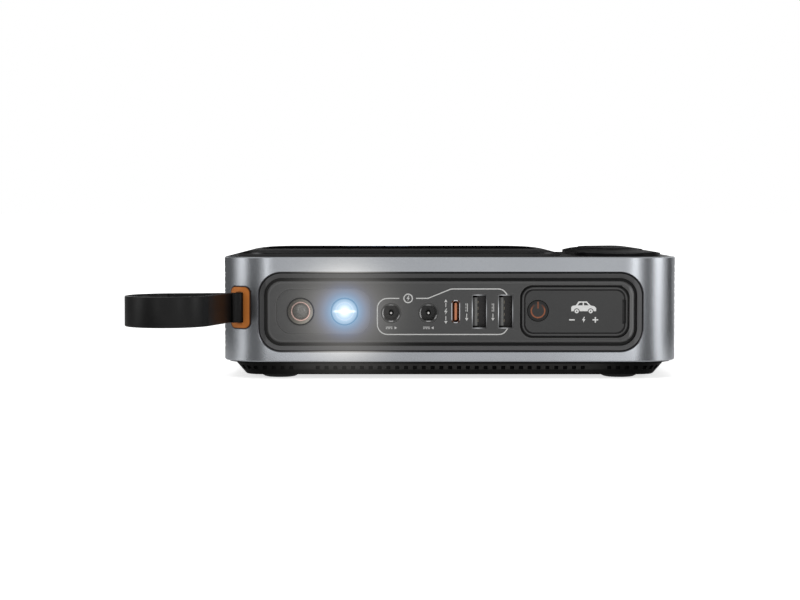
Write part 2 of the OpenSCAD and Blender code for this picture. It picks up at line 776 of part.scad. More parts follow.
module lamp_window() color([0.2, 0.2, 0.21])
    between(panel_sink + lamp_window_sink, panel_back) difference() {
        translate([lamp_window_x, lamp_z]) rounded(lamp_window_w, lamp_window_h, 6);
        for (x = lamp_xs) translate([x, lamp_z]) circle(r = barrel_r + fit_gap / 2);
    }

barrel_front = panel_sink - 0.3;
barrel_back = barrel_front + barrel_len;
trim_front = barrel_front + barrel_cone;
lens_back = trim_front + trim_t + lens_t;
trim_fit = 0.02;

module lamp_barrels() color([0.12, 0.12, 0.13]) for (x = lamp_xs)
    facing(x, lamp_z, barrel_back) rotate_extrude() polygon([
        [barrel_bore_r, 0], [barrel_r, 0], [barrel_r, barrel_len - 0.2],
        [barrel_r - 0.2, barrel_len], [barrel_mouth_r, barrel_len],
        [barrel_bore_r, barrel_len - barrel_cone]]);

module lamp_trim_rings() color([0.75, 0.4, 0.16]) for (x = lamp_xs)
    facing(x, lamp_z, trim_front + trim_t) rotate_extrude() polygon([
        [trim_bore_r, 0], [barrel_bore_r - trim_fit, 0], [barrel_bore_r - trim_fit, trim_t],
        [trim_bore_r + 0.2, trim_t], [trim_bore_r, trim_t - 0.2]]);

// A flange with a dome that stands through the trim ring
dome_r = trim_bore_r - 0.05;
dome_ball = (dome_r * dome_r + lens_dome * lens_dome) / (2 * lens_dome);
module lamp_lenses() color([0.8, 0.85, 0.9, 0.6]) for (x = lamp_xs)
    facing(x, lamp_z, lens_back) {
        cylinder(r = barrel_bore_r - trim_fit, h = lens_t);
        intersection() {
            translate([0, 0, lens_t + trim_t * 0.8 + lens_dome - dome_ball]) sphere(dome_ball);
            cylinder(r = dome_r, h = lens_t + trim_t + lens_dome);
        }
    }

module lamp_reflectors() color([0.85, 0.85, 0.87]) for (x = lamp_xs)
    facing(x, lamp_z, barrel_back - 0.3) rotate_extrude() polygon([
        [led_w * 0.75, 0], [barrel_bore_r - trim_fit, 0],
        [barrel_bore_r - trim_fit, barrel_back - 0.3 - lens_back],
        [barrel_bore_r - 0.3, barrel_back - 0.3 - lens_back]]);

module lamp_emitters() color([0.95, 0.9, 0.6]) between(barrel_back - 0.7, barrel_back)
    for (x = lamp_xs) translate([x, lamp_z]) square(led_w, center = true);

module lamp_board() color([0.75, 0.75, 0.75]) between(barrel_back, barrel_back + board_t)
    translate([(lamp_xs[0] + lamp_xs[1]) / 2, lamp_z])
        rounded(lamp_pitch + 2 * barrel_r + 2, 2 * barrel_r + 3, 1.5);

// ---- Charging sockets ----

dc_body = [9, 11];
// Chamfer of a barrel jack's mouth
dc_lead = 0.4;
module dc_jacks() color([0.05, 0.05, 0.05]) for (x = dc_xs) difference() {
    union() {
        facing(x, dc_z, panel_back + 0.5)
            cylinder(r = dc_bore_r + 0.8, h = panel_back + 0.5 - socket_depth);
        between(panel_back, port_board_depth) translate([x, dc_z]) square(dc_body, center = true);
    }
    facing(x, dc_z, socket_depth + dc_depth) intersection() {
        union() {
            cylinder(r = dc_bore_r, h = dc_depth + 1);
            translate([0, 0, dc_depth - dc_lead])
                cylinder(r1 = dc_bore_r, r2 = dc_bore_r + 2 * dc_lead, h = 2 * dc_lead);
        }
        translate([-2 * dc_bore_r, -dc_flat, 0])
            cube([4 * dc_bore_r, 2 * dc_flat, 2 * dc_depth]);
    }
}

module dc_pins() color("silver") for (x = dc_xs)
    facing(x, dc_z, socket_depth + dc_depth) rotate_extrude() polygon([
        [0, 0], [dc_pin_r, 0], [dc_pin_r, dc_depth - 1.3],
        [dc_pin_r - 0.4, dc_depth - 0.9], [0, dc_depth - 0.9]]);

module type_c_shell() color("silver") difference() {
    between(socket_depth, port_board_depth) translate([type_c_x, socket_z])
        rounded(type_c_w + 2 * shell_t, type_c_h + 2 * shell_t, type_c_w / 2);
    between(0, port_board_depth - 5) translate([type_c_x, socket_z])
        rounded(type_c_w, type_c_h, type_c_w / 2 - 0.1);
}

module type_c_tongue() color([0.75, 0.4, 0.15])
    between(socket_depth + 0.8, port_board_depth - 5)
        translate([type_c_x, socket_z]) rounded(0.9, type_c_h - 1.7, 0.3);

module type_a_shells() color("silver") for (x = type_a_xs) difference() {
    between(socket_depth, port_board_depth) translate([x, socket_z])
        square([type_a_w + 2 * shell_t, type_a_h + 2 * shell_t], center = true);
    between(0, port_board_depth - 3) translate([x, socket_z])
        square([type_a_w, type_a_h], center = true);
}

tongue_w = 1.8;
tongue_x = 0.25 + tongue_w / 2 - type_a_w / 2;
module type_a_tongues() color([0.8, 0.8, 0.8]) for (x = type_a_xs)
    between(socket_depth + 1, port_board_depth - 3)
        translate([x + tongue_x, socket_z])
            square([tongue_w, type_a_h - 1.6], center = true);

contact_step = 2.4;
module type_a_contacts() color([0.75, 0.55, 0.2]) for (x = type_a_xs, i = [-1.5:1.5])
    between(socket_depth + 2, port_board_depth - 3)
        translate([x + tongue_x + tongue_w / 2, socket_z + i * contact_step - 0.5])
            square([0.2, 1]);

port_board_x = 4.5;
port_board_size = [71, 30];
module port_board() color([0.1, 0.3, 0.15])
    between(port_board_depth, port_board_depth + board_t) difference() {
        translate([port_board_x, window_z]) rounded(port_board_size[0], port_board_size[1], 1.5);
        for (p = port_posts) translate(p) circle(r = board_screw_r + 0.1);
    }

module port_board_screws() color("gray") for (p = port_posts)
    facing(p[0], p[1], port_board_depth + board_t) {
        translate([0, 0, -board_head_h]) cylinder(r = board_head_r, h = board_head_h);
        cylinder(r = board_screw_r, h = board_t + port_grip);
    }

// ---- Power button ----

// Ring with an open top and a bar in the opening
module power_mark_shape(h) {
    rotate([0, 0, 122]) rotate_extrude(angle = 296)
        translate([mark_r - mark_stroke / 2, 0]) square([mark_stroke, h]);
    translate([-mark_stroke / 2, mark_r * 0.35, 0])
        cube([mark_stroke, mark_r, h]);
}

button_face = panel_sink - 0.1;
button_flange = block_back + 0.1;
switch_gap = button_travel + 0.1;
stem_end = port_board_depth - 3.5 - switch_gap;
module power_button() color([0.06, 0.06, 0.06]) difference() {
    union() {
        facing(button_x, button_z, button_flange + 0.5)
            cylinder(r = button_r, h = button_flange + 0.5 - button_face);
        facing(button_x, button_z, button_flange + 1) cylinder(r = button_r + 1.2, h = 1);
        facing(button_x, button_z, stem_end) cylinder(r = 1.6, h = stem_end - button_flange);
    }
    facing(button_x, button_z, button_face + 0.6) power_mark_shape(1);
}

module power_mark() color([0.8, 0.42, 0.15])
    facing(button_x, button_z, button_face + 0.6) power_mark_shape(0.6);

module power_switch() color([0.15, 0.15, 0.15]) {
    between(port_board_depth - 3, port_board_depth) translate([button_x, button_z])
        square(6, center = true);
    facing(button_x, button_z, port_board_depth - 3) cylinder(r = 1.7, h = 0.5);
}

// ---- Jump socket and cover ----

// Outline of the rubber cover, and the same drawn in by a margin
module cover_outline(inset = 0) translate([pocket_x, pocket_z])
    rounded(cover_w - 2 * inset, cover_hh - 2 * inset, cover_r - inset);

rim_w = 0.85;
line_w = 0.5;
module cover_skin() difference() {
    between(cover_face, pocket_floor) cover_outline();
    between(0, cover_face + cover_line) difference() {
        cover_outline(rim_w);
        cover_outline(rim_w + line_w);
    }
}

// Everything on one side of the hinge line, less half its gap
module left_half() between(0, pocket_floor + 1)
    translate([hinge_x - hinge_gap / 2 - pocket_w, 0]) square([pocket_w, rim_z]);
module right_half() between(0, pocket_floor + 1)
    translate([hinge_x + hinge_gap / 2, 0]) square([pocket_w, rim_z]);

module cover_anchor() color([0.13, 0.13, 0.13]) difference() {
    intersection() {
        cover_skin();
        left_half();
    }
    between(0, pocket_floor + 1) translate([button_x, button_z])
        circle(r = button_r + button_gap);
}

seal_t = 1.2;
notch_w = 1;
notch_h = 9.3;
module socket_cover() color([0.13, 0.13, 0.13]) {
    difference() {
        intersection() {
            cover_skin();
            right_half();
        }
        between(0, cover_face + 0.8) translate([pocket_x + cover_w / 2 - 1.1, pocket_z])
            rounded(notch_w, notch_h, notch_w / 2 - 0.05);
    }
    // Seal that enters the well
    between(pocket_floor, pocket_floor + seal_h) difference() {
        well_outline(-seal_gap);
        well_outline(-seal_gap - seal_t);
    }
}

contact_xs = [jump_x - contact_pitch / 2, jump_x + contact_pitch / 2];
contact_front = jump_face + 0.6;
contact_wall = 0.3;
jump_body = [22, 11.6, 14];
jump_back = jump_face + jump_body[2];
tail_back = jump_back + 0.5;
module jump_socket() color([0.1, 0.25, 0.6]) difference() {
    union() {
        between(jump_face, jump_back) translate([jump_x, jump_z])
            rounded(jump_body[0], jump_body[1], 2);
        between(well_depth, well_depth + 1.5) well_outline(well_t);
    }
    for (x = contact_xs) facing(x, jump_z, jump_back + 1)
        cylinder(r = contact_bore_r + contact_wall + 0.05, h = jump_back);
}

module jump_contacts() color([0.8, 0.6, 0.25]) for (x = contact_xs) {
    facing(x, jump_z, jump_back)
        tube(contact_bore_r + contact_wall, contact_bore_r, jump_back - contact_front);
    facing(x, jump_z, tail_back) cylinder(r = contact_bore_r + contact_wall, h = 1.5);
}

// Copper bars from the contacts to the battery's end and to the relay
bus_pad = 3;
bus_stop = 16.5;
module jump_bus() color([0.7, 0.4, 0.25]) translate([0, 0, jump_z - bus_h / 2])
    linear_extrude(bus_h) {
        y0 = front + tail_back;
        x0 = min(cell_end, contact_xs[0] - bus_pad);
        x1 = max(cell_end + bus_t, contact_xs[0] + bus_pad);
        relay_bar = max(relay_x0 + bus_t, contact_xs[1] - bus_t);
        translate([x0, y0]) square([x1 - x0, bus_t]);
        translate([cell_end, y0]) square([bus_t, cells_y - bus_stop - y0]);
        translate([contact_xs[1] - bus_t, y0])
            square([relay_bar + bus_pad - contact_xs[1] + bus_t, bus_t]);
        translate([relay_bar, y0]) square([bus_t, -relay_d / 2 - y0]);
    }

// ---- Strap ----

// Loop seen from above, from the bend at the origin along +X
module strap_loop() {
    touch = [loop_reach - loop_r * sin(spread), loop_r * cos(spread)];
    inner_r = loop_r - strap_t;
    inner = [loop_reach - inner_r * sin(spread), inner_r * cos(spread)];
    circle(r = strap_t);
    translate([0, -strap_t]) square([neck_len + 1.2, 2 * strap_t]);
    difference() {
        union() {
            translate([loop_reach, 0]) circle(r = loop_r);
            polygon([[neck_len, strap_t], [neck_len, -strap_t], [touch[0], -touch[1]], touch]);
        }
        translate([loop_reach, 0]) circle(r = inner_r);
        polygon([[loop_reach - inner_r / sin(spread), 0], [inner[0], -inner[1]],
            [loop_reach, 0], inner]);
    }
}

module strap() color([0.04, 0.04, 0.04])
    translate([bend_x, bend_y, belt_z - strap_w / 2]) rotate([0, 0, 270 - loop_turn])
        linear_extrude(strap_w) strap_loop();

// Part of the strap inside the corner, wrapped round the pin
module strap_root() color([0.04, 0.04, 0.04])
    translate([-corner_x, -corner_y, belt_z - strap_w / 2]) rotate([0, 0, 270 - slot_turn])
        linear_extrude(strap_w) difference() {
            union() {
                translate([anchor_in, 0]) circle(r = anchor_r + 0.05 + strap_t);
                translate([anchor_in, -strap_t]) square([bend_r - anchor_in, 2 * strap_t]);
            }
            translate([anchor_in, 0]) circle(r = anchor_r + 0.05);
            translate([bend_r, 0]) circle(r = strap_t + 0.3);
        }

ear_gap = 0.4;
ear_t = 2;
ear_wall = 2;
ear_back = 6;
ear_w = 7;
wing_w = 6;
wing_gap = 0.4;
module strap_pin() color("gray")
    translate([-corner_x - anchor_in * sin(slot_turn), -corner_y - anchor_in * cos(slot_turn),
        belt_z - strap_w / 2 - ear_gap - ear_t])
        cylinder(r = anchor_r, h = strap_w + 2 * ear_gap + 2 * ear_t);

// Two ears on a back wall, which follows the corner's inside
module strap_bracket() color([0.1, 0.1, 0.1])
    translate([-corner_x, -corner_y, belt_z]) rotate([0, 0, 270 - slot_turn]) {
        h = strap_w + 2 * ear_gap + 2 * ear_t;
        difference() {
            translate([0, 0, -h / 2]) linear_extrude(h) {
                translate([anchor_in, 0]) circle(r = anchor_r + ear_wall);
                translate([anchor_in - ear_back, -ear_w / 2]) square([ear_back, ear_w]);
                // Wings that reach the eyelet's flange above and below the slot
                translate([anchor_in, -wing_w / 2])
                    square([inner_r - fit_gap - flange_t - anchor_in - wing_gap, wing_w]);
            }
            translate([anchor_in + ear_t - ear_back, -ear_w, -strap_w / 2 - ear_gap])
                cube([inner_r, 2 * ear_w, strap_w + 2 * ear_gap]);
            translate([anchor_in, 0, -h]) cylinder(r = anchor_r + 0.02, h = 2 * h);
        }
    }

// Part of a round wall between two radii, about the sleeve's corner
module corner_wall(r0, r1, h) rotate([90, 0, 0]) translate([0, 0, -h / 2]) tube(r1, r0, h);

module strap_eyelet() color([0.75, 0.41, 0.16]) {
    back_r = inner_r - fit_gap - flange_t;
    at_slot() difference() {
        union() {
            intersection() {
                linear_extrude(corner_r + 2) eyelet_outline(0, 0);
                corner_wall(back_r, corner_r + eyelet_proud, eyelet_h + 1);
            }
            intersection() {
                linear_extrude(corner_r) eyelet_outline(flange_w, flange_h);
                corner_wall(back_r, inner_r - fit_gap, eyelet_h + 2 * flange_h + 1);
            }
        }
        linear_extrude(corner_r + 3) rounded(slot_w, slot_h, slot_r);
    }
}

// ---- Battery and electronics ----

module battery_tray() color([0.2, 0.2, 0.2]) translate([cells_x, cells_y, floor_z]) {
    w = cell_w + 2 * cell_gap;
    d = cell_d + 2 * cell_gap;
    difference() {
        linear_extrude(tray_h) square([w + 2 * tray_wall, d + 2 * tray_wall], center = true);
        translate([0, 0, tray_floor]) linear_extrude(tray_h) square([w, d], center = true);
    }
}

module battery_cells() color([0.3, 0.45, 0.7]) for (i = [0:cell_count - 1])
    translate([cells_x, cells_y, cells_z + i * cell_step]) linear_extrude(cell_t)
        rounded(cell_w, cell_d, 3);

module cell_foam() color([0.15, 0.15, 0.15]) for (i = [1:cell_count - 1])
    translate([cells_x, cells_y, cells_z + i * cell_step - foam_t]) linear_extrude(foam_t)
        square([cell_w - 6, cell_d - 6], center = true);

// Plates that join the cells in series at their right ends
link_t = 0.6;
link_w = 12;
link_over = 1.5;
link_ys = [6, -10];
module cell_links() color([0.75, 0.72, 0.68]) for (i = [0:cell_count - 2])
    translate([cell_end, cells_y + link_ys[i % 2], cells_z + i * cell_step + cell_t - link_over])
        cube([link_t, link_w, foam_t + 2 * link_over]);

module main_board() color([0.1, 0.3, 0.15]) difference() {
    translate([cells_x, cells_y, board_z]) linear_extrude(board_t)
        rounded(cell_w, cell_d, 2);
    for (p = board_screws)
        translate([p[0], p[1], board_z - 1]) cylinder(r = board_screw_r + 0.1, h = board_t + 2);
}

module main_board_screws() color("gray") for (p = board_screws)
    translate([p[0], p[1], board_z - board_head_h]) {
        cylinder(r = board_head_r, h = board_head_h);
        cylinder(r = board_screw_r, h = board_head_h + board_t + board_grip);
    }

module start_relay() color([0.1, 0.1, 0.12])
    translate([relay_x0, -relay_d / 2, floor_z]) cube([relay_w, relay_d, relay_z1 - floor_z]);

// Board over the relay, with the parts that stand on it
power_x = relay_x0 + 0.5;
power_y = -20;
power_size = [24, 42];
power_top = relay_z1 + board_t;
module power_board() color([0.1, 0.3, 0.15])
    translate([power_x, power_y, relay_z1]) cube([power_size[0], power_size[1], board_t]);

capacitor_r = 4;
capacitor_h = 10.5;
capacitor_step = 10;
module power_capacitors() color([0.2, 0.2, 0.35]) for (i = [0:2])
    translate([power_x + capacitor_r + 2, power_y + capacitor_r + 2 + i * capacitor_step, power_top])
        cylinder(r = capacitor_r, h = capacitor_h);

choke_r = 7;
choke_bore_r = 3;
choke_h = 7;
module power_choke() color([0.35, 0.3, 0.25])
    translate([power_x + power_size[0] - choke_r - 2, power_y + power_size[1] - choke_r - 0.5,
        power_top]) tube(choke_r, choke_bore_r, choke_h);

side_frame();
top_cover();
display_window();
display_module();
base_tray();
feet();
case_screws();
front_bezel();
front_panel();
lamp_window();
lamp_barrels();
lamp_trim_rings();
lamp_lenses();
lamp_reflectors();
lamp_emitters();
lamp_board();
dc_jacks();
dc_pins();
type_c_shell();
type_c_tongue();
type_a_shells();
type_a_tongues();
type_a_contacts();
port_board();
port_board_screws();
power_button();
power_mark();
power_switch();
cover_anchor();
socket_cover();
jump_socket();
jump_contacts();
jump_bus();
strap();
strap_root();
strap_pin();
strap_bracket();
strap_eyelet();
battery_tray();
battery_cells();
cell_foam();
cell_links();
main_board();
main_board_screws();
start_relay();
power_board();
power_capacitors();
power_choke();
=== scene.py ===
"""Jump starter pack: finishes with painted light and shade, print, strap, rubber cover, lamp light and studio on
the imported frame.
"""
import json
import math
import bmesh
import bpy
from mathutils import Matrix, Vector


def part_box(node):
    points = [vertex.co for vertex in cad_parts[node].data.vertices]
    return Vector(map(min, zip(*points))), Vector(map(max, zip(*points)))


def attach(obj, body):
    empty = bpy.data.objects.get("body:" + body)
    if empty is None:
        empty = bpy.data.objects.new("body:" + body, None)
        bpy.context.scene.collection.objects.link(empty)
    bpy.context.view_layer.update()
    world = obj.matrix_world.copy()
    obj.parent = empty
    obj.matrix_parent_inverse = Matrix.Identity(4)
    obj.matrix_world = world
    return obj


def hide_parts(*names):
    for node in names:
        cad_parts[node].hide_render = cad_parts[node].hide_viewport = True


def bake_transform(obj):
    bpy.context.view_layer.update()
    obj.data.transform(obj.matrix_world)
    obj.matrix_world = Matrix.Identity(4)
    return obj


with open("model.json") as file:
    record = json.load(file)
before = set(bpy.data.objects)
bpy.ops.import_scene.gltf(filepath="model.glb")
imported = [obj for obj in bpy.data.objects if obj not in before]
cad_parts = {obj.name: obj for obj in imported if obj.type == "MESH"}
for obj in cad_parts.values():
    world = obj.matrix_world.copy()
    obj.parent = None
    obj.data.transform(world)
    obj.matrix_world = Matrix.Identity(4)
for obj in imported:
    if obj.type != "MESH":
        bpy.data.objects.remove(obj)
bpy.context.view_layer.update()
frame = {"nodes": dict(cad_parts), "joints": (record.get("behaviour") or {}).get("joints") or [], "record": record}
MM = 0.001


# ---- Camera ----

CAMERA_PLACE = (-0.0199, -0.790, 0.0664)
CAMERA_DIP = 2.70


def add_camera():
    data = bpy.data.cameras.new("camera")
    data.sensor_width = 36.0
    data.lens = 85.0
    camera = bpy.data.objects.new("camera", data)
    camera.location = CAMERA_PLACE
    camera.rotation_euler = (math.radians(90.0 - CAMERA_DIP), 0.0, 0.0)
    bpy.context.scene.collection.objects.link(camera)
    bpy.context.scene.camera = camera


add_camera()


# ---- Places from the frame, in millimetres ----

def box(node):
    """Low and high corner of a node's box."""
    low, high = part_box(node)
    return low / MM, high / MM


def middle(node):
    low, high = box(node)
    return (low + high) / 2


def pair(node):
    """Middle in X and Z of the left and of the right solid of a node that holds two."""
    centre = middle(node)
    xs = [v.co.x / MM for v in frame["nodes"][node].data.vertices]
    halves = [[x for x in xs if x < centre.x], [x for x in xs if x > centre.x]]
    return [((min(half) + max(half)) / 2, centre.z) for half in halves]


def joint_place(name):
    """Place of a joint, in metres."""
    return Vector(next(j for j in frame["joints"] if j["name"] == name)["pos_m"])


PANEL_LOW, PANEL_HIGH = box("front_panel")
PANEL_Y = PANEL_LOW.y
SLEEVE_Y = box("side_frame")[0].y
COVER_LOW = box("cover_anchor")[0]
COVER_HIGH = box("socket_cover")[1]
COVER_Y = box("socket_cover")[0].y
LAMPS = pair("lamp_barrels")
JACKS = pair("dc_jacks")
USB_A = pair("type_a_shells")
USB_C = (middle("type_c_shell").x, middle("type_c_shell").z)
BUTTON = (middle("power_button").x, middle("power_button").z)
HINGE = joint_place("cover_hinge")
BEND = joint_place("strap_bend")
# Corner radii of front pieces, and the axes of the sleeve's own corners
WINDOW_R = 9.0
PANEL_R = 6.2
COVER_R = 4.85
CORNER_X = 74.0
CORNER_Y = 34.0
# The eyelet's outline, and the way its slot looks, in degrees from straight ahead
EYELET_R = 2.5
EYELET_W = 9.6
EYELET_H = 16.5
SLOT_TURN = 34.3
# Middle of the stroke of the power mark's ring
MARK_R = 2.65


# ---- Node trees ----

def put(tree, kind, values=None, **settings):
    """Adds a node. Its inputs get a value, or are joined to a socket or a term."""
    node = tree.nodes.new(kind)
    for name, value in settings.items():
        setattr(node, name, value)
    for key, value in (values or {}).items():
        if isinstance(value, Term):
            value = value.socket
        if isinstance(value, bpy.types.NodeSocket):
            tree.links.new(value, node.inputs[key])
        else:
            node.inputs[key].default_value = value
    return node


def result(tree, kind, values=None, output=0, **settings):
    """Adds a node and gives one of its outputs as a term."""
    return Term(tree, put(tree, kind, values, **settings).outputs[output])


class Term:
    """A value in a shader tree. Reckoning with it adds the math nodes."""

    def __init__(self, tree, socket):
        self.tree = tree
        self.socket = socket

    def feed(self, socket):
        self.tree.links.new(self.socket, socket)

    def reckon(self, operation, *values, clamp=False):
        return result(self.tree, "ShaderNodeMath", dict(enumerate(values)),
                      operation=operation, use_clamp=clamp)

    def __add__(self, other):
        return self.reckon("ADD", self, other)

    def __sub__(self, other):
        return self.reckon("SUBTRACT", self, other)

    def __rsub__(self, other):
        return self.reckon("SUBTRACT", other, self)

    def __mul__(self, other):
        return self.reckon("MULTIPLY", self, other)

    def __truediv__(self, other):
        return self.reckon("DIVIDE", self, other)

    def __rtruediv__(self, other):
        return self.reckon("DIVIDE", other, self)

    def __neg__(self):
        return self.reckon("MULTIPLY", self, -1.0)

    def __abs__(self):
        return self.reckon("ABSOLUTE", self)

    def above(self, limit):
        return self.reckon("GREATER_THAN", self, limit)

    def below(self, limit):
        return self.reckon("LESS_THAN", self, limit)

    def root(self):
        return self.reckon("SQRT", self)

    def clamped(self):
        return self.reckon("ADD", self, 0.0, clamp=True)


def largest(first, *others):
    for other in others:
        first = first.reckon("MAXIMUM", first, other)
    return first


def span(value, low, high, out_low=0.0, out_high=1.0):
    """Turns one range of values into another, softly at both ends."""
    return result(value.tree, "ShaderNodeMapRange", {
        0: value, 1: low, 2: high, 3: out_low, 4: out_high}, interpolation_type="SMOOTHSTEP")


def fall(value, low, high):
    """1 below a stretch, falling to 0 above it."""
    return span(value, low, high, 1.0, 0.0)


def within(value, low, high, soft=0.12):
    """1 between two lengths, 0 outside them, with soft ends."""
    return span(value, low - soft, low + soft) * fall(value, high - soft, high + soft)


def bell(value, width):
    """1 where a length is nought, falling to 0 over a width."""
    share = value / width
    power = -(share * share)
    return power.reckon("EXPONENT", power)


def scaled(colour, share):
    return result(share.tree, "ShaderNodeVectorMath", {0: colour, 3: share}, operation="SCALE")


def grey(tone):
    return tone, tone, tone


def layered(colour, *layers):
    """A colour under layers of (share, tone); tones are terms or (red, green, blue)."""
    for share, tone in layers:
        sides = [c if isinstance(c, Term) else (*c, 1.0) for c in (colour, tone)]
        colour = result(share.tree, "ShaderNodeMix", {0: share, 6: sides[0], 7: sides[1]}, 2,
                        data_type="RGBA")
    return colour


def new_group(name, inputs, outputs):
    """Shader group with named sockets; inputs are (name, default), outputs (name, kind)."""
    tree = bpy.data.node_groups.new(name, "ShaderNodeTree")
    for title, default in inputs:
        kind = "NodeSocketFloat" if isinstance(default, float) else "NodeSocketColor"
        socket = tree.interface.new_socket(title, in_out="INPUT", socket_type=kind)
        socket.default_value = default
    for title, kind in outputs:
        tree.interface.new_socket(title, in_out="OUTPUT", socket_type=kind)
    entry = tree.nodes.new("NodeGroupInput").outputs
    given = {title: Term(tree, entry[title]) for title, _ in inputs}
    return tree, given, tree.nodes.new("NodeGroupOutput").inputs


def object_place(tree):
    return put(tree, "ShaderNodeTexCoord").outputs["Object"]


def places(owner):
    """Object coordinates in millimetres, in a material or in a tree."""
    tree = getattr(owner, "node_tree", owner)
    parts = put(tree, "ShaderNodeSeparateXYZ", {0: object_place(tree)}).outputs
    return [Term(tree, part) / MM for part in parts]


def length(across, up):
    return (across * across + up * up).root()


def beside(place, axis):
    """Places across and up from an axis that runs front to back."""
    return place[0] - axis[0], place[2] - axis[1]


def radial(place, axis):
    """Distance from an axis that runs front to back."""
    return length(*beside(place, axis))


def nearer(axes, place):
    """Distance from the nearer of two such axes."""
    half = (axes[1][0] - axes[0][0]) / 2
    folded = abs(place[0] - (axes[0][0] + half))
    return radial((folded, place[1], place[2]), (half, axes[0][1]))


def laid_over(axes, place):
    """Place with the right one of two like pieces laid over the left one."""
    second = place[0].above((axes[0][0] + axes[1][0]) / 2)
    return place[0] - second * (axes[1][0] - axes[0][0]), place[1], place[2]


def outline_distance(across, up, low, high, radius):
    """Distance outside a rounded rectangle; low and high are its corners."""
    out = [largest(abs(place - (a + b) / 2) - ((b - a) / 2 - radius), 0.0)
           for place, a, b in ((across, low[0], high[0]), (up, low[1], high[1]))]
    return length(*out) - radius


def front_outline(place, low, high, radius, wider=0.0):
    """Distance outside a front piece's outline, given by its box's two corners."""
    return outline_distance(place[0], place[2], (low.x - wider, low.z - wider),
                            (high.x + wider, high.z + wider), radius)


def eyelet_outline(place):
    """Distance outside the eyelet's outline, seen along its slot."""
    turn = math.radians(SLOT_TURN)
    aside = (place[0] + CORNER_X) * math.cos(turn) - (place[1] + CORNER_Y) * math.sin(turn)
    mid = middle("strap_eyelet").z
    return outline_distance(aside, place[2], (-EYELET_W / 2, mid - EYELET_H / 2),
                            (EYELET_W / 2, mid + EYELET_H / 2), EYELET_R)


# ---- The shared finish and the lamp's light ----

def make_finish():
    """Moulded or cast surface: fine grain, slow blotches in tone and gloss, worn edges, and painted shade in
    recesses.
    """
    tree, given, made = new_group("finish", [
        ("Colour", (0.1, 0.1, 0.1, 1.0)), ("Edge Colour", (0.2, 0.2, 0.2, 1.0)),
        ("Gloss", 0.4), ("Grain Size", 0.0004), ("Blotch Size", 0.02), ("Blotch", 0.08),
        ("Gloss Spread", 0.06), ("Edge Width", 0.0003), ("Edge Wear", 0.3),
        ("Recess Shade", 0.6), ("Recess Size", 0.0015)],
        [("Colour", "NodeSocketColor"), ("Roughness", "NodeSocketFloat"),
         ("Height", "NodeSocketFloat")])
    place = object_place(tree)
    fine, slow = (result(tree, "ShaderNodeTexNoise", {
        "Vector": place, "Scale": 1.0 / given[size], "Detail": detail, "Roughness": rough}, "Fac")
        for size, detail, rough in (("Grain Size", 2.0, 0.6), ("Blotch Size", 3.0, 0.5)))
    swing = slow - 0.5
    speck = (fine - 0.5) * given["Blotch"] + (swing * (given["Blotch"] * 2.0) + 1.0)
    # Painted shade: ambient occlusion finds the recesses, and the colour is darkened there.
    open_sky = result(tree, "ShaderNodeAmbientOcclusion", {"Distance": given["Recess Size"]},
                      "AO", samples=8)
    painted_shade = fall(open_sky, 0.5, 0.93)
    toned = scaled(given["Colour"], speck * (1.0 - painted_shade * given["Recess Shade"]))
    rounded = result(tree, "ShaderNodeBevel", {"Radius": given["Edge Width"]}, samples=4)
    plain = result(tree, "ShaderNodeNewGeometry", output="Normal")
    facing = result(tree, "ShaderNodeVectorMath", {0: rounded, 1: plain}, "Value",
                    operation="DOT_PRODUCT")
    ragged = (span(1.0 - facing, 0.01, 0.2) * (slow + 0.3)).clamped()
    worn = (ragged * given["Edge Wear"]).clamped()
    layered(toned, (worn, given["Edge Colour"])).feed(made["Colour"])
    (swing * given["Gloss Spread"] + given["Gloss"]).feed(made["Roughness"])
    fine.feed(made["Height"])
    return tree


FINISH = make_finish()
FINISHES = {}
RELIEF = 0.05


def material(name, colour, rough, edge=None, grain=0.3, blotch=0.08, bump=0.1, wear=0.3,
             edge_width=0.3, spread=0.06, blotch_size=20.0, recess_shade=0.6, recess_size=1.5,
             specular=0.5, **sockets):
    """Principled material on the shared finish, kept by its name; sizes are in millimetres, and the recess
    settings give the amount and reach of the painted shade in recesses.
    """
    made = bpy.data.materials.new(name)
    made.use_nodes = True
    tree = made.node_tree
    shader = tree.nodes["Principled BSDF"].inputs
    edge = edge or tuple(min(1.0, 1.6 * c + 0.02) for c in colour)
    finish = put(tree, "ShaderNodeGroup", {
        "Colour": (*colour, 1.0), "Edge Colour": (*edge, 1.0), "Gloss": rough,
        "Grain Size": grain * MM, "Blotch Size": blotch_size * MM, "Blotch": blotch,
        "Gloss Spread": spread, "Edge Width": edge_width * MM, "Edge Wear": wear,
        "Recess Shade": recess_shade, "Recess Size": recess_size * MM}, node_tree=FINISH).outputs
    relief = put(tree, "ShaderNodeBump", {
        "Height": finish["Height"], "Strength": bump, "Distance": RELIEF * MM})
    tree.links.new(finish["Colour"], shader["Base Color"])
    tree.links.new(finish["Roughness"], shader["Roughness"])
    tree.links.new(relief.outputs[0], shader["Normal"])
    shader["Specular IOR Level"].default_value = specular
    for title, value in sockets.items():
        shader[title.replace("_", " ")].default_value = value
    made.diffuse_color = (*colour, 1.0)
    FINISHES[name] = made
    return made


def own(made, output="Colour"):
    """What a material's finish gives."""
    return Term(made.node_tree, made.node_tree.nodes["Group"].outputs[output])


def painted(made, *layers, base=None):
    """The material in layers over its own colour or over another base."""
    colour = layered(base or own(made), *layers)
    colour.feed(made.node_tree.nodes["Principled BSDF"].inputs["Base Color"])
    return made


# Reach in millimetres and peak of the lit lamp's red, green and blue light
HALO = ((4.1, 0.72), (5.0, 0.86), (6.0, 1.0))
WARM = (1.0, 0.975, 0.92)


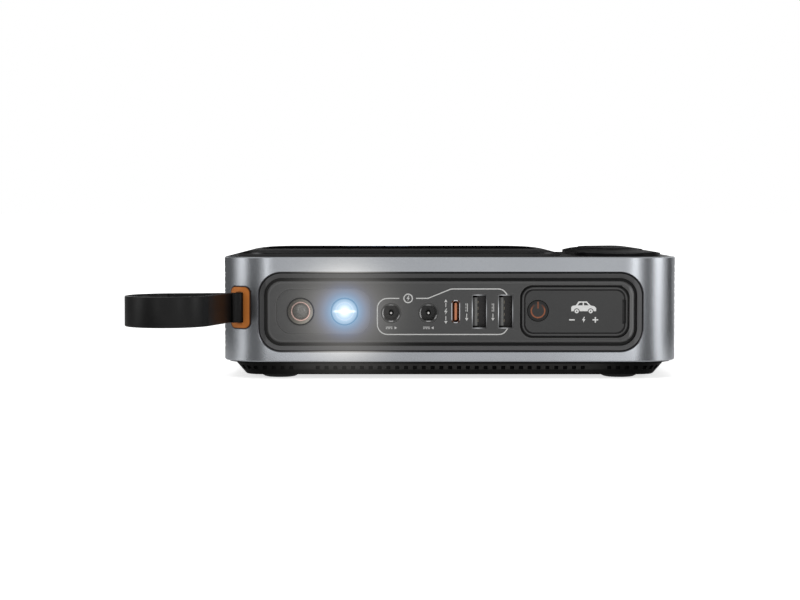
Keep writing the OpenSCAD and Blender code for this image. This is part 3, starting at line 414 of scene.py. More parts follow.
def make_lamp_light():
    """Light of the lit lamp: a white core with a streak across it, and a blue halo."""
    tree, _, made = new_group("lamp_light", [], [("Colour", "NodeSocketColor")])
    across, up = beside(places(tree), LAMPS[1])
    distance = length(across, up)
    streak = bell(up, 0.45) * span(abs(across), 3.6, 5.0, 0.45, 0.0)
    white = bell(distance, 1.5) * 0.25 + streak
    parts = [white + bell(distance, reach) * peak for reach, peak in HALO]
    result(tree, "ShaderNodeCombineColor", dict(enumerate(parts))).feed(made["Colour"])
    return tree


def make_lamp_wash():
    """Warm light that the lit lamp throws on the front round it."""
    tree, given, made = new_group("lamp_wash", [("Reach", 15.0), ("Strength", 0.2)],
                                  [("Colour", "NodeSocketColor")])
    place = places(tree)
    fade = bell(radial(place, LAMPS[1]), given["Reach"])
    front = fall(place[1], PANEL_Y + 8.0, PANEL_Y + 16.0)
    scaled(WARM, fade * front * given["Strength"]).feed(made["Colour"])
    return tree


LAMP_LIGHT = make_lamp_light()
LAMP_WASH = make_lamp_wash()


def lit(made, reach, strength, halo=False, mask=None):
    """Adds the lit lamp's warm wash to a material, and its core and halo where it has them."""
    tree = made.node_tree
    shader = tree.nodes["Principled BSDF"].inputs
    colour = result(tree, "ShaderNodeGroup", {"Reach": reach, "Strength": strength},
                    node_tree=LAMP_WASH)
    if mask is not None:
        colour = scaled(colour, mask)
    if halo:
        light = result(tree, "ShaderNodeGroup", node_tree=LAMP_LIGHT)
        colour = result(tree, "ShaderNodeVectorMath", {0: colour, 1: light}, operation="ADD")
    colour.feed(shader["Emission Color"])
    shader["Emission Strength"].default_value = 1.0
    return made


# ---- Finishes ----

def sleeve_metal():
    """Blasted and anodised aluminium, with painted shade along its window's edge and round the eyelet's seat."""
    made = material("sleeve_aluminium", (0.29, 0.302, 0.32), 0.26, edge=(0.6, 0.62, 0.65),
                    grain=0.22, blotch=0.05, bump=0.12, wear=0.5, edge_width=0.35,
                    spread=0.04, blotch_size=30, recess_shade=0.7, recess_size=0.6, Metallic=1.0)
    place = places(made)
    x, y, _ = place
    rim = front_outline(place, *box("front_bezel"), WINDOW_R, wider=-1.0)
    # Painted shade: a dark line along the window's edge and round the eyelet's seat.
    near = fall(rim, 0.2, 0.5) * fall(y, SLEEVE_Y + 1.5, SLEEVE_Y + 2.5)
    corner = x.below(-CORNER_X - 1.0) * y.below(-CORNER_Y - 1.0)
    seat = corner * fall(eyelet_outline(place), 0.2, 0.5)
    return lit(painted(made, (largest(near, seat), (0.05, 0.05, 0.055))), 13.8, 1.35)


def orange_metal():
    """Anodised orange on the eyelet, with painted shade along its very edge."""
    made = material("orange_metal", (0.48, 0.155, 0.03), 0.38, edge=(0.62, 0.3, 0.1), grain=0.2,
                    bump=0.08, wear=0.5, recess_shade=0.8, specular=0.25, Metallic=0.35)
    # Painted shade along the eyelet's outline.
    edge = span(eyelet_outline(places(made)), -0.4, -0.1)
    return painted(made, (edge, (0.06, 0.02, 0.006)))


# Where the two islands part and where the painted shade on the long one's left end is deepest, in X
ISLANDS_PART = 45.5
END_SHADE_X = -75.0
# Painted glints at the ends of the long island's crown: X, Z and strength
PAINTED_CROWN_GLINTS = ((39.3, 49.6, 0.8), (-77.0, 49.6, 0.9))


def black_cover():
    """Satin black moulding: a polished black crown, dark steps, and painted light and shade: a paler brow, a paler
    deck and lower slope, glints, and a dark left end.
    """
    made = material("cover_black", (0.012, 0.012, 0.0122), 0.42, bump=0.06, blotch=0.1,
                    edge=grey(0.03), specular=0.07)
    x, _, z = places(made)
    drop = box("display_window")[1].z - z
    long_one = fall(x, ISLANDS_PART - 1.0, ISLANDS_PART + 1.0)
    short_one = 1.0 - long_one
    # Painted shade on the long island's left end.
    end = span(x, END_SHADE_X - 4.0, END_SHADE_X + 4.0, 0.85, 0.0)
    crown = long_one * fall(drop, 0.6, 0.8)
    # A painted highlight on the brow below the crown, and painted sheen on the long island's lower slope.
    brow = long_one * within(drop, 0.75, 1.15, 0.15)
    wall = long_one * within(drop, 2.4, 3.4, 0.15)
    lids = short_one * largest(fall(drop, 0.6, 0.66), within(drop, 1.2, 1.7, 0.1))
    steps = short_one * largest(within(drop, 0.66, 1.12, 0.03), within(drop, 1.9, 3.3, 0.1))
    # Painted highlights at the crown's two ends.
    glints = [(bell(x - at_x, 1.8) * bell(z - at_z, 0.3) * share, (0.17, 0.17, 0.175))
              for at_x, at_z, share in PAINTED_CROWN_GLINTS]
    gloss = own(made, "Roughness")
    polished = gloss + crown * (0.12 - gloss)
    polished.feed(made.node_tree.nodes["Principled BSDF"].inputs["Roughness"])
    # The paler tone of the deck below the islands is painted sheen.
    return painted(
        made, (largest(short_one * 0.85, end), grey(0.001)),
        (span(drop, 3.3, 3.4), (0.02, 0.02, 0.0205)), (brow, grey(0.036)), (lids, grey(0.005)),
        (wall, grey(0.034)), (largest(crown, steps * 0.9), (0.0015, 0.0015, 0.002)), *glints)


# Height of the strip that holds the vents and gets painted light, and where the painted shade round the base's
# ends begins and ends
VENT_STRIP = (3.6, 6.0)
BASE_END_SHADE = (52.0, 70.0)


def base_plastic():
    """Black base, with painted light on the strip between the vents and painted shade round its ends."""
    made = material("base_black", (0.0145, 0.0141, 0.0135), 0.6, grain=0.35, bump=0.15,
                    blotch=0.1, edge=grey(0.02), recess_shade=0.97, recess_size=2.0, specular=0.05)
    x, _, z = places(made)
    vent_band_light = within(z, *VENT_STRIP, 0.3) * 1.9 + 1.0
    tone = vent_band_light * span(abs(x), *BASE_END_SHADE, 1.0, 0.1)
    return lit(painted(made, base=scaled(own(made), tone)), 18.0, 0.125)


def rubber(name, colour, rough=0.62, specular=0.35):
    return material(name, colour, rough, grain=0.25, bump=0.2, blotch=0.12, recess_shade=0.97,
                    specular=specular)


# Half the length of the finger notch in the rubber cover, and how far in it reaches
NOTCH_HALF = 4.8
NOTCH_IN = 2.05


def cover_finish():
    """Grey rubber: a painted highlight on its raised rim, and painted shade in the line inside the rim, in the gap
    round it, on its deeper faces and in the finger notch.
    """
    made = rubber("cover_rubber", grey(0.043), 0.55, 0.2)
    place = places(made)
    x, y, z = place
    inset = -front_outline(place, COVER_LOW, COVER_HIGH, COVER_R)
    # Painted highlight on the rim; below it, painted shade in the line, the gap, the notch and on the deeper
    # faces.
    rim = within(inset, 0.25, 0.75) * 0.35 + 1.0
    line = within(inset, 0.86, 1.36, 0.08)
    gap = fall(inset, 0.02, 0.12)
    aside = abs(z - (COVER_LOW.z + COVER_HIGH.z) / 2)
    edge = COVER_HIGH.x - x
    ends = within(aside, NOTCH_HALF - 1.2, NOTCH_HALF) * within(edge, 0.8, NOTCH_IN)
    lip = within(aside, -1.0, NOTCH_HALF) * within(edge, NOTCH_IN - 0.35, NOTCH_IN, 0.1)
    floor = span(y, COVER_Y + 0.5, COVER_Y + 0.7) * 0.6
    return painted(made, (largest(line, gap, ends, lip, floor), grey(0.003)),
                   base=scaled(own(made), rim))


def front_light_and_shade(made, left, right, left_shade_gain, right_light_gain, rim_highlight_gain=1.0):
    """Painted light and shade on a grey front moulding: a darker left stretch, a paler right one, a painted
    highlight on its rim, and painted shade round the cover.
    """
    place = places(made)
    # Painted shade on the left stretch and painted light on the right one.
    first = span(place[0], left - 0.4, left + 0.4, left_shade_gain, 1.0)
    last = span(place[0], right - 0.4, right + 0.4, 1.0, right_light_gain)
    inset = -front_outline(place, PANEL_LOW, PANEL_HIGH, PANEL_R)
    rim = within(inset, 0.45, 1.0) * (rim_highlight_gain - 1.0) + 1.0
    seat = span(front_outline(place, COVER_LOW, COVER_HIGH, COVER_R), 0.25, 0.4)
    return painted(made, base=scaled(own(made), first * last * rim * seat))


def panel_plastic():
    made = material("panel_grey", grey(0.056), 0.46, blotch=0.06, wear=0.5, edge_width=0.7,
                    edge=(0.13, 0.128, 0.125), recess_shade=0.95, specular=0.2)
    front_light_and_shade(made, PANEL_LOW.x + 0.5, PANEL_HIGH.x - 2.0, 0.9, 1.85, 1.3)
    return lit(made, 16.0, 0.2, halo=True)


def bezel_plastic():
    made = material("bezel_grey", (0.066, 0.066, 0.067), 0.42, blotch=0.06, wear=0.35,
                    edge=grey(0.12), recess_shade=0.98, recess_size=2.2, specular=0.2)
    return lit(front_light_and_shade(made, PANEL_LOW.x - 0.5, PANEL_HIGH.x, 0.5, 1.4), 16.0, 0.2)


def lamp_window_plastic():
    made = material("lamp_window_smoke", grey(0.045), 0.4, bump=0.08, blotch=0.06, wear=0.6,
                    edge=grey(0.16), edge_width=0.6, recess_shade=0.9, recess_size=1.2, specular=0.3)
    outside = span(radial(places(made), LAMPS[1]), 5.0, 9.0, 0.55, 1.0)
    return lit(made, 14.5, 0.272, halo=True, mask=outside)


def lamp_light_and_shade(made, colour, x, left, right):
    """A lamp's part with painted light: paler toward the right on the unlit lamp, and darker under the lit lamp's
    glow.
    """
    across = x - LAMPS[0][0]
    second = across.above((LAMPS[1][0] - LAMPS[0][0]) / 2)
    tone = span(across, -5.5, 5.5, left, right) * (1.0 - second * 0.85)
    return painted(made, base=scaled(colour, tone))


def barrel_plastic():
    """Dark ring outside and a paler greenish cone inside."""
    made = material("barrel_black", grey(0.012), 0.4, blotch=0.1, recess_shade=0.4, specular=0.3)
    place = places(made)
    cone = fall(nearer(LAMPS, place), 4.8, 4.95)
    lamp_light_and_shade(made, layered(own(made), (cone, (0.21, 0.2, 0.172))), place[0], 0.3, 1.6)
    return lit(made, 17.0, 0.13, halo=True, mask=span(cone, 0.0, 1.0, 0.35, 1.0))


def trim_metal():
    """Salmon inner edge on the lamps' rings, and a dull outer part."""
    made = material("trim_orange", (0.7, 0.46, 0.4), 0.4, grain=0.2, bump=0.05, wear=0.2,
                    recess_shade=0.2, Metallic=0.2)
    place = places(made)
    outer = span(nearer(LAMPS, place), 3.65, 3.8)
    lamp_light_and_shade(made, layered(own(made), (outer, (0.16, 0.12, 0.1))), place[0], 0.7, 1.2)
    return lit(made, 17.0, 0.16, halo=True)


def lens_plastic():
    """Clear moulded lens with a pebbled face over the dark depth of its barrel."""
    made = material("lens_clear", (0.125, 0.12, 0.11), 0.25, grain=1.1, bump=0.5, blotch=0.5,
                    wear=0.0, recess_shade=0.1, spread=0.2, blotch_size=1.6,
                    Transmission_Weight=0.2, IOR=1.49)
    return lit(lamp_light_and_shade(made, own(made), places(made)[0], 0.75, 1.3), 17.0, 0.12, halo=True)


def steel(name, colour):
    return material(name, colour, 0.25, grain=0.2, bump=0.05, wear=0.0, recess_shade=0.0, Metallic=1.0)


def at_lip(y, node):
    """1 on the front edge of a socket's shell and 0 inside it."""
    face = box(node)[0].y
    return fall(y, face + 0.05, face + 0.3)


def shell_steel():
    """Socket shells: painted highlights on the folded lips, brightest half-way up, and painted shade inside."""
    made = steel("shell_steel", (0.55, 0.56, 0.58))
    place = laid_over(USB_A, places(made))
    across, up = beside(place, USB_A[0])
    # Painted highlights on the lips' sides and ends; elsewhere painted shade.
    sides = bell(up, 4.0) * span(across, -1.0, 1.0, 1.0, 0.5)
    end = span(abs(up), 5.9, 6.1, 0.0, 0.7) * bell(across + 0.7, 1.7)
    share = at_lip(place[1], "type_a_shells") * (largest(sides, end) + 0.03)
    return painted(made, (share.clamped(), own(made)), base=(0.035, 0.034, 0.034))


def type_c_steel():
    """Small shell with painted highlights on its thin sides and brighter ends, and a warm dark inside that is
    painted shade with a painted reflection of the orange tongue.
    """
    made = steel("type_c_steel", (0.42, 0.42, 0.44))
    place = places(made)
    across, up = beside(place, USB_C)
    bright = largest(fall(abs(up), 2.9, 3.8), fall(abs(across), 0.5, 1.1))
    share = at_lip(place[1], "type_c_shell") * bright
    return painted(made, (share, own(made)), base=(0.07, 0.026, 0.014))


def tongue_plastic():
    """Grey tongue that shows as a pale strip, with painted shade on both sides of it."""
    made = material("tongue_grey", (0.11, 0.11, 0.105), 0.45, recess_shade=0.3)
    across = laid_over(USB_A, places(made))[0] - box("type_a_tongues")[0].x
    return painted(made, (within(across, 0.75, 1.45), own(made)), base=grey(0.018))


# Painted glints on a jack's mouth: angle, half its spread in degrees, and strength
PAINTED_JACK_GLINTS = ((90, 20, 0.25), (-90, 20, 0.6), (180, 40, 1.0), (-30, 22, 0.55))


def jack_plastic():
    """Black jack with painted glints on its mouth at the top, bottom, left and lower right."""
    made = material("jack_black", grey(0.02), 0.3, bump=0.05, recess_shade=0.4)
    across, up = beside(laid_over(JACKS, places(made)), JACKS[0])
    distance = length(across, up)
    glints = 0.0
    for turn, half, strength in PAINTED_JACK_GLINTS:
        angle = math.radians(turn)
        toward = (across * math.cos(angle) + up * math.sin(angle)) / distance
        glints = span(toward, math.cos(math.radians(half)), math.cos(math.radians(half * 0.4)),
                      0.0, strength) + glints
    mouth = span(distance, 2.95, 3.1) * fall(distance, 3.3, 3.5)
    return lit(painted(made, ((glints * mouth).clamped(), grey(0.5))), 18.0, 0.07)


def pin_metal():
    """Nickel pin with a painted highlight at the middle of its tip and painted shade round it."""
    made = material("pin_nickel", (0.6, 0.59, 0.57), 0.2, grain=0.2, bump=0.04, recess_shade=0.3,
                    Metallic=1.0)
    tip = fall(nearer(JACKS, places(made)), 0.1, 0.55)
    return painted(made, (tip, own(made)), base=grey(0.04))


def button_plastic():
    """Black button, darkest in a ring outside its mark."""
    made = material("button_black", (0.03, 0.029, 0.028), 0.45, grain=0.25, bump=0.06,
                    recess_shade=0.8, specular=0.2)
    ring = span(radial(places(made), BUTTON), 2.5, 3.3)
    return painted(made, (ring, grey(0.012)))


def mark_paint():
    """Orange mark whose stroke is brightest along its middle and fades toward its foot."""
    made = material("mark_orange", (0.26, 0.088, 0.042), 0.45, grain=0.25, recess_shade=0.1,
                    specular=0.2)
    across, up = beside(places(made), BUTTON)
    off = abs(length(across, up) - MARK_R)
    curve = fall(off, 0.12, 0.34) * span(up, 0.6, 2.0, 1.0, 0.1)
    stem = fall(abs(across), 0.15, 0.4) * 0.6
    return painted(made, (largest(curve, stem), own(made)), base=(0.05, 0.024, 0.017))


# Where the strap comes out of the eyelet, in X
EYELET_MOUTH = -88.0


def strap_finish():
    """Black rubber strap, with painted shade in the eyelet and a painted brown reflection of the eyelet beside it.
    """
    made = rubber("strap_black", grey(0.0065), 0.36, 0.12)
    x = places(made)[0]
    # Painted reflection of the orange eyelet, then painted shade inside the eyelet.
    warm = within(x, EYELET_MOUTH - 3.5, EYELET_MOUTH, 0.8)
    painted_shade = span(x, EYELET_MOUTH - 0.5, EYELET_MOUTH + 1.5)
    return painted(made, (warm, (0.012, 0.006, 0.003)), (painted_shade, grey(0.002)))


def plain_finishes():
    """Finishes without places of their own, most of them on parts inside."""
    material("display_glass", (0.004, 0.004, 0.005), 0.1, grain=0.5, bump=0.02, blotch=0.2,
             wear=0.1, Coat_Weight=0.5, Coat_Roughness=0.05)
    material("display_blue", (0.03, 0.05, 0.12), 0.3)
    material("screw_steel", (0.42, 0.42, 0.43), 0.32, grain=0.2, Metallic=1.0,
             edge=(0.7, 0.7, 0.72), edge_width=0.15)
    material("reflector_chrome", (0.85, 0.85, 0.87), 0.12, grain=0.6, bump=0.3, Metallic=1.0)
    material("emitter_yellow", (0.85, 0.7, 0.2), 0.5, grain=0.2)
    material("lamp_board_metal", grey(0.7), 0.35, grain=0.4, Metallic=0.6)
    material("part_black", grey(0.016), 0.22, bump=0.05)
    material("tongue_orange", (0.5, 0.17, 0.07), 0.42, recess_shade=0.3)
    material("contact_gold", (0.5, 0.43, 0.32), 0.4, grain=0.2, Metallic=0.5)
    material("board_green", (0.02, 0.12, 0.05), 0.35, grain=1.2, blotch=0.3)
    material("jump_blue", (0.03, 0.09, 0.42), 0.3)
    material("copper", (0.7, 0.36, 0.2), 0.28, grain=0.5, Metallic=1.0)
    material("cell_foil", (0.6, 0.62, 0.66), 0.35, grain=2.0, bump=0.4, Metallic=0.8)
    material("capacitor_can", (0.06, 0.06, 0.16), 0.3)
    material("ferrite", (0.08, 0.075, 0.07), 0.6, grain=0.4, bump=0.4)
    rubber("foot_rubber", grey(0.018))
    rubber("foam_grey", grey(0.08), 0.9)


def dress_nodes():
    for make in (sleeve_metal, black_cover, base_plastic, bezel_plastic, panel_plastic,
                 lamp_window_plastic, barrel_plastic, trim_metal, orange_metal, lens_plastic,
                 jack_plastic, pin_metal, shell_steel, type_c_steel, tongue_plastic,
                 button_plastic, mark_paint, cover_finish, strap_finish, plain_finishes):
        make()
    other = {"lamp_trim_rings": "trim_orange", "dc_jacks": "jack_black",
             "type_c_shell": "type_c_steel"}
    for part in frame["record"]["subparts"]:
        for place in frame["nodes"][part["node"]].material_slots:
            place.material = FINISHES[other.get(part["node"], part["material_slot"])]


dress_nodes()


# ---- Making pieces ----

def link(name, mesh):
    piece = bpy.data.objects.new(name, mesh)
    bpy.context.scene.collection.objects.link(piece)
    return piece


def smooth(mesh, degrees=35.0):
    """Smooth shading, with the edges sharper than an angle kept crisp."""
    work = bmesh.new()
    work.from_mesh(mesh)
    for face in work.faces:
        face.smooth = True
    for edge in work.edges:
        if len(edge.link_faces) == 2:
            edge.smooth = edge.calc_face_angle() < math.radians(degrees)
    work.to_mesh(mesh)
    work.free()


def into_mesh(work, name, finish):
    """The worked shape as a mesh with one finish."""
    mesh = bpy.data.meshes.new(name)
    work.to_mesh(mesh)
    work.free()
    mesh.materials.append(finish)
    return mesh


def worked_out(piece):
    """A plain mesh of the piece with its modifiers applied."""
    graph = bpy.context.evaluated_depsgraph_get()
    return bpy.data.meshes.new_from_object(piece.evaluated_get(graph))


def even_out(piece, degrees=35.0):
    """Smooth shading whose normals follow the larger faces."""
    smooth(piece.data, degrees)
    piece.modifiers.new("even", "WEIGHTED_NORMAL").keep_sharp = True
    mesh = worked_out(piece)
    piece.modifiers.clear()
    piece.data = mesh


def reshape(mesh, change):
    """Moves each point of a mesh as a function of its place in millimetres says."""
    for vertex in mesh.vertices:
        x, y, z = (v / MM for v in vertex.co)
        vertex.co = Vector(change(x, y, z)) * MM
    mesh.update()


def merged_copy(node, name, change=None, even=True):
    """Stands for a CAD node: its own mesh merged and, where asked, reshaped and evened out."""
    source = frame["nodes"][node].data
    work = bmesh.new()
    work.from_mesh(source)
    bmesh.ops.remove_doubles(work, verts=work.verts, dist=0.002 * MM)
    mesh = into_mesh(work, name, source.materials[0])
    if change:
        reshape(mesh, change)
    piece = link(name, mesh)
    if even:
        even_out(piece)
    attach(piece, "case")
    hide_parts(node)
    return piece


def arc(centre, radius, start, end, steps):
    """Points on an arc in a plane; angles in degrees."""
    return [(centre[0] + radius * math.cos(math.radians(a)),
             centre[1] + radius * math.sin(math.radians(a)))
            for a in (start + (end - start) * i / steps for i in range(steps + 1))]


def rounded_path(corners, steps=6):
    """Open path through (x, z, radius) corners, each rounded by its radius."""
    points = []
    for i, (x, z, radius) in enumerate(corners):
        if radius <= 0:
            points.append((x, z))
            continue
        here = Vector((x, z))
        back = (Vector(corners[i - 1][:2]) - here).normalized()
        ahead = (Vector(corners[i + 1][:2]) - here).normalized()
        half = back.angle(ahead) / 2
        centre = here + (back + ahead).normalized() * radius / math.sin(half)
        first = here + back * radius / math.tan(half) - centre
        last = here + ahead * radius / math.tan(half) - centre
        for k in range(steps + 1):
            points.append(tuple(centre + first.slerp(last, k / steps, first) * radius))
    return points


def front_place(mesh, depth):
    """Turns a flat mesh, drawn in X and Z as X and Y, on to the front at a depth."""
    mesh.transform(Matrix.Translation((0, depth * MM, 0))
                   @ Matrix.Rotation(math.radians(90), 4, "X"))
    mesh.update()


def thicken(work, faces, rise):
    """Gives flat faces a thickness along Z."""
    raised = bmesh.ops.extrude_face_region(work, geom=faces)
    moved = [v for v in raised["geom"] if isinstance(v, bmesh.types.BMVert)]
    bmesh.ops.translate(work, verts=moved, vec=(0, 0, rise * MM))


def flat_piece(name, loops, thickness, depth, finish, body):
    """Thin plates from closed loops in X and Z, holes among them, on a front face."""
    work = bmesh.new()
    edges = []
    for loop in loops:
        corners = [work.verts.new((x * MM, z * MM, 0.0)) for x, z in loop]
        edges += [work.edges.new((corners[i - 1], corners[i])) for i in range(len(corners))]
    bmesh.ops.triangle_fill(work, use_beauty=True, use_dissolve=False, edges=edges)
    for face in work.faces:
        if face.normal.z < 0:
            face.normal_flip()
    thicken(work, work.faces[:], thickness)
    bmesh.ops.recalc_face_normals(work, faces=work.faces)
    mesh = into_mesh(work, name, finish)
    front_place(mesh, depth)
    piece = link(name, mesh)
    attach(piece, body)
    return piece


def cut_across(work, axis, place, apart=0.0001 * MM):
    """Cuts all faces by a plane that stands at a place on an axis."""
    spot, facing = [0.0, 0.0, 0.0], [0.0, 0.0, 0.0]
    spot[axis] = place
    facing[axis] = 1.0
    bmesh.ops.bisect_plane(work, geom=work.verts[:] + work.edges[:] + work.faces[:],
                           dist=apart, plane_co=spot, plane_no=facing)


# ---- Geometry node trees ----

def new_builder(name, sizes):
    """Geometry node tree with named sizes; returns it with its inputs and its output socket."""
    tree = bpy.data.node_groups.new(name, "GeometryNodeTree")
    geometry = ("Geometry", "NodeSocketGeometry")
    for title, kind in (geometry, *sizes, ("Finish", "NodeSocketMaterial")):
        tree.interface.new_socket(title, in_out="INPUT", socket_type=kind)
    tree.interface.new_socket(geometry[0], in_out="OUTPUT", socket_type=geometry[1])
    return tree, tree.nodes.new("NodeGroupInput").outputs, tree.nodes.new("NodeGroupOutput").inputs


def close_builder(tree, shape, given, made):
    """Ends a builder with its shape as real faces in its finish."""
    real = put(tree, "GeometryNodeRealizeInstances", {0: shape.outputs[0]})
    done = put(tree, "GeometryNodeSetMaterial", {
        "Geometry": real.outputs[0], "Material": given["Finish"]})
    tree.links.new(done.outputs[0], made["Geometry"])
    return tree


def make_band_builder():
    """Sweeps a rounded flat section along a path: Width stands up, Thickness lies across it."""
    tree, given, made = new_builder("band_along_path", [
        (title, "NodeSocketFloat") for title in ("Width", "Thickness", "Corner")])
    curve = put(tree, "GeometryNodeMeshToCurve", {"Mesh": given["Geometry"]})
    turned = put(tree, "GeometryNodeSetCurveNormal", {"Curve": curve.outputs[0]}, mode="Z_UP")
    section = put(tree, "GeometryNodeCurvePrimitiveQuadrilateral", {
        "Width": given["Thickness"], "Height": given["Width"]}, mode="RECTANGLE")
    eased = put(tree, "GeometryNodeFilletCurve", {
        "Curve": section.outputs[0], "Radius": given["Corner"], "Count": 4}, mode="POLY")
    band = put(tree, "GeometryNodeCurveToMesh", {
        "Curve": turned.outputs[0], "Profile Curve": eased.outputs[0], "Fill Caps": True})
    return close_builder(tree, band, given, made)


def make_row_builder():
    """A row of equal small blocks along X: Count, Step, and the block's sizes."""
    tree, given, made = new_builder("row_of_blocks", [("Count", "NodeSocketInt")] + [
        (title, "NodeSocketFloat") for title in ("Step", "Length", "Height", "Thickness")])
    step = put(tree, "ShaderNodeCombineXYZ", {0: given["Step"]})
    line = put(tree, "GeometryNodeMeshLine", {
        "Count": given["Count"], "Offset": step.outputs[0]}, mode="OFFSET")
    size = put(tree, "ShaderNodeCombineXYZ", {
        0: given["Length"], 1: given["Height"], 2: given["Thickness"]})
    block = put(tree, "GeometryNodeMeshCube", {"Size": size.outputs[0]})
    row = put(tree, "GeometryNodeInstanceOnPoints", {
        "Points": line.outputs[0], "Instance": block.outputs[0]})
    return close_builder(tree, row, given, made)


BAND = make_band_builder()
ROW_TREE = make_row_builder()


def grow(name, tree, sizes, points=((0.0, 0.0, 0.0),), closed=False):
    """Runs a geometry tree on a path and returns its result as a plain mesh."""
    edges = [(i, i + 1) for i in range(len(points) - 1)]
    if closed:
        edges.append((len(points) - 1, 0))
    start = bpy.data.meshes.new(name + "_path")
    start.from_pydata([tuple(p) for p in points], edges, [])
    carrier = link(name + "_path", start)
    builder = carrier.modifiers.new("build", "NODES")
    builder.node_group = tree
    for item in tree.interface.items_tree:
        if item.item_type == "SOCKET" and item.in_out == "INPUT" and item.name in sizes:
            builder[item.identifier] = sizes[item.name]
    mesh = worked_out(carrier)
    mesh.name = name
    carrier.modifiers.remove(builder)
    bpy.data.objects.remove(carrier)
    bpy.data.meshes.remove(start)
    return mesh


# ---- Strap ----

STRAP_T = 1.6
# Radius of the loop, how far its middle is from the bend, and its way from straight ahead
LOOP_R = 16.8
LOOP_REACH = 30.19
LOOP_TURN = 52.4
# How far the slot's mouth is from the corner's axis
SLOT_OUT = 16.9
# How much lower the loop's far end is
DROOP = 0.3
# Angle at which the two layers leave each other
SPREAD = 40.0
# Inner radius of the band round the pin, and where it leaves the pin, from the slot's way
ANCHOR_R = 1.55
HOOK_TURNS = (255, 105)
# Points between two given ones where a path is smoothed
BETWEEN = 8


def level_way(turn):
    """Level direction at an angle to the left of straight ahead."""
    return Vector((-math.sin(math.radians(turn)), -math.cos(math.radians(turn)), 0))


def strap_path():
    """Parts of the closed band seen from above: round the pin, one layer, the loop, the other."""
    pin = middle("strap_pin")
    bend = BEND / MM
    pin.z = bend.z
    slot = level_way(SLOT_TURN)
    loop = level_way(LOOP_TURN)
    mouth = Vector((-CORNER_X, -CORNER_Y, bend.z)) + slot * SLOT_OUT
    centre = bend + loop * LOOP_REACH
    spread = math.radians(SPREAD)
    neck = (LOOP_R - STRAP_T * math.cos(spread)) / math.sin(spread)
    half = STRAP_T / 2 + 0.02

    def turned(middle_at, radius, toward, start, end, steps):
        """Arc at the strap's height; its angles count from a direction."""
        base = math.degrees(math.atan2(toward.y, toward.x))
        points = arc(middle_at, radius, base + start, base + end, steps)
        return [Vector((x, y, bend.z)) for x, y in points]

    def lane(sign):
        """Points of one layer from the pin to the loop."""
        found = []
        for start, end, way, shares in ((pin, mouth, slot, (0.3, 0.55, 0.8, 1.0)),
                                        (mouth, centre - loop * neck, loop, (0.35, 0.7))):
            aside = Vector((-way.y, way.x, 0)) * sign * half
            found += [start.lerp(end, share) + aside for share in shares]
        return found

    hook = turned(pin, ANCHOR_R + STRAP_T / 2, slot, *HOOK_TURNS, 12)
    ring = turned(centre, LOOP_R - STRAP_T / 2, loop, 90 + SPREAD, -90 - SPREAD, 48)
    return hook + lane(1) + ring[1:-1] + lane(-1)[::-1]


def even_path(points, step):
    """Closed smooth path through points, at even steps."""
    count = len(points)
    dense = []
    for i in range(count):
        a, b, c, d = (points[(i + k - 1) % count] for k in range(4))
        for k in range(BETWEEN):
            t = k / BETWEEN
            dense.append(0.5 * ((2 * b) + (c - a) * t + (2 * a - 5 * b + 4 * c - d) * t * t
                                + (3 * b - a - 3 * c + d) * t * t * t))
    gone = [0.0]
    for i in range(len(dense)):
        gone.append(gone[-1] + (dense[(i + 1) % len(dense)] - dense[i]).length)
    total = gone[-1]
    wanted = max(8, round(total / step))
    even = []
    i = 0
    for k in range(wanted):
        at = total * k / wanted
        while gone[i + 1] < at:
            i += 1
        share = (at - gone[i]) / max(gone[i + 1] - gone[i], 1e-9)
        even.append(dense[i].lerp(dense[(i + 1) % len(dense)], share))
    return even


def add_strap():
    low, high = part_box("strap")
    path = [point * MM for point in even_path(strap_path(), 0.8)]
    mesh = grow("strap_band", BAND, {
        "Width": high.z - low.z, "Thickness": STRAP_T * MM, "Corner": 0.4 * MM,
        "Finish": FINISHES["strap_black"]}, path, closed=True)
    for vertex in mesh.vertices:
        away = (BEND - vertex.co).xy.length / (2 * LOOP_REACH * MM)
        vertex.co.z -= DROOP * MM * away
    smooth(mesh, 60)
    band = link("strap_band", mesh)
    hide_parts("strap", "strap_root")
    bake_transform(band)


add_strap()


# ---- Covers, panel, sleeve and eyelet ----

# The short island's left end, how far it falls and over what length, and the deck below it
ISLAND_LEFT = 50.0
ISLAND_DROP = 1.0
ISLAND_EASE = 4.0
DECK_Z = 48.3
# The front window's middle and half size, its corners' radius in the solids, and its depth
BEZEL_MID = middle("front_bezel")
BEZEL_HALF = box("front_bezel")[1] - BEZEL_MID
OLD_R = WINDOW_R + 1.0
FRONT_DEPTH = 20.0
# How far the eyelet is turned, and between which angles from straight ahead its opening lies
EYELET_TURN = 4.2
OPENING_TURNS = (15, 62)
EYELET_LOW, EYELET_HIGH = box("strap_eyelet")
# Length over which the walls' normals ease into the corners
CORNER_EASE = 6.0
# Least level part of a wall's normal, and least likeness between it and the eased one
LEVEL_PART = 0.2
LIKENESS = 0.93


def lowered_left(x, y, z):
    """The short island's left end falls away toward the deck."""
    if x < ISLAND_LEFT - 0.2 or z < DECK_Z + 0.05:
        return x, y, z
    return x, y, max(DECK_Z, z - ISLAND_DROP * math.exp((ISLAND_LEFT - x) / ISLAND_EASE))


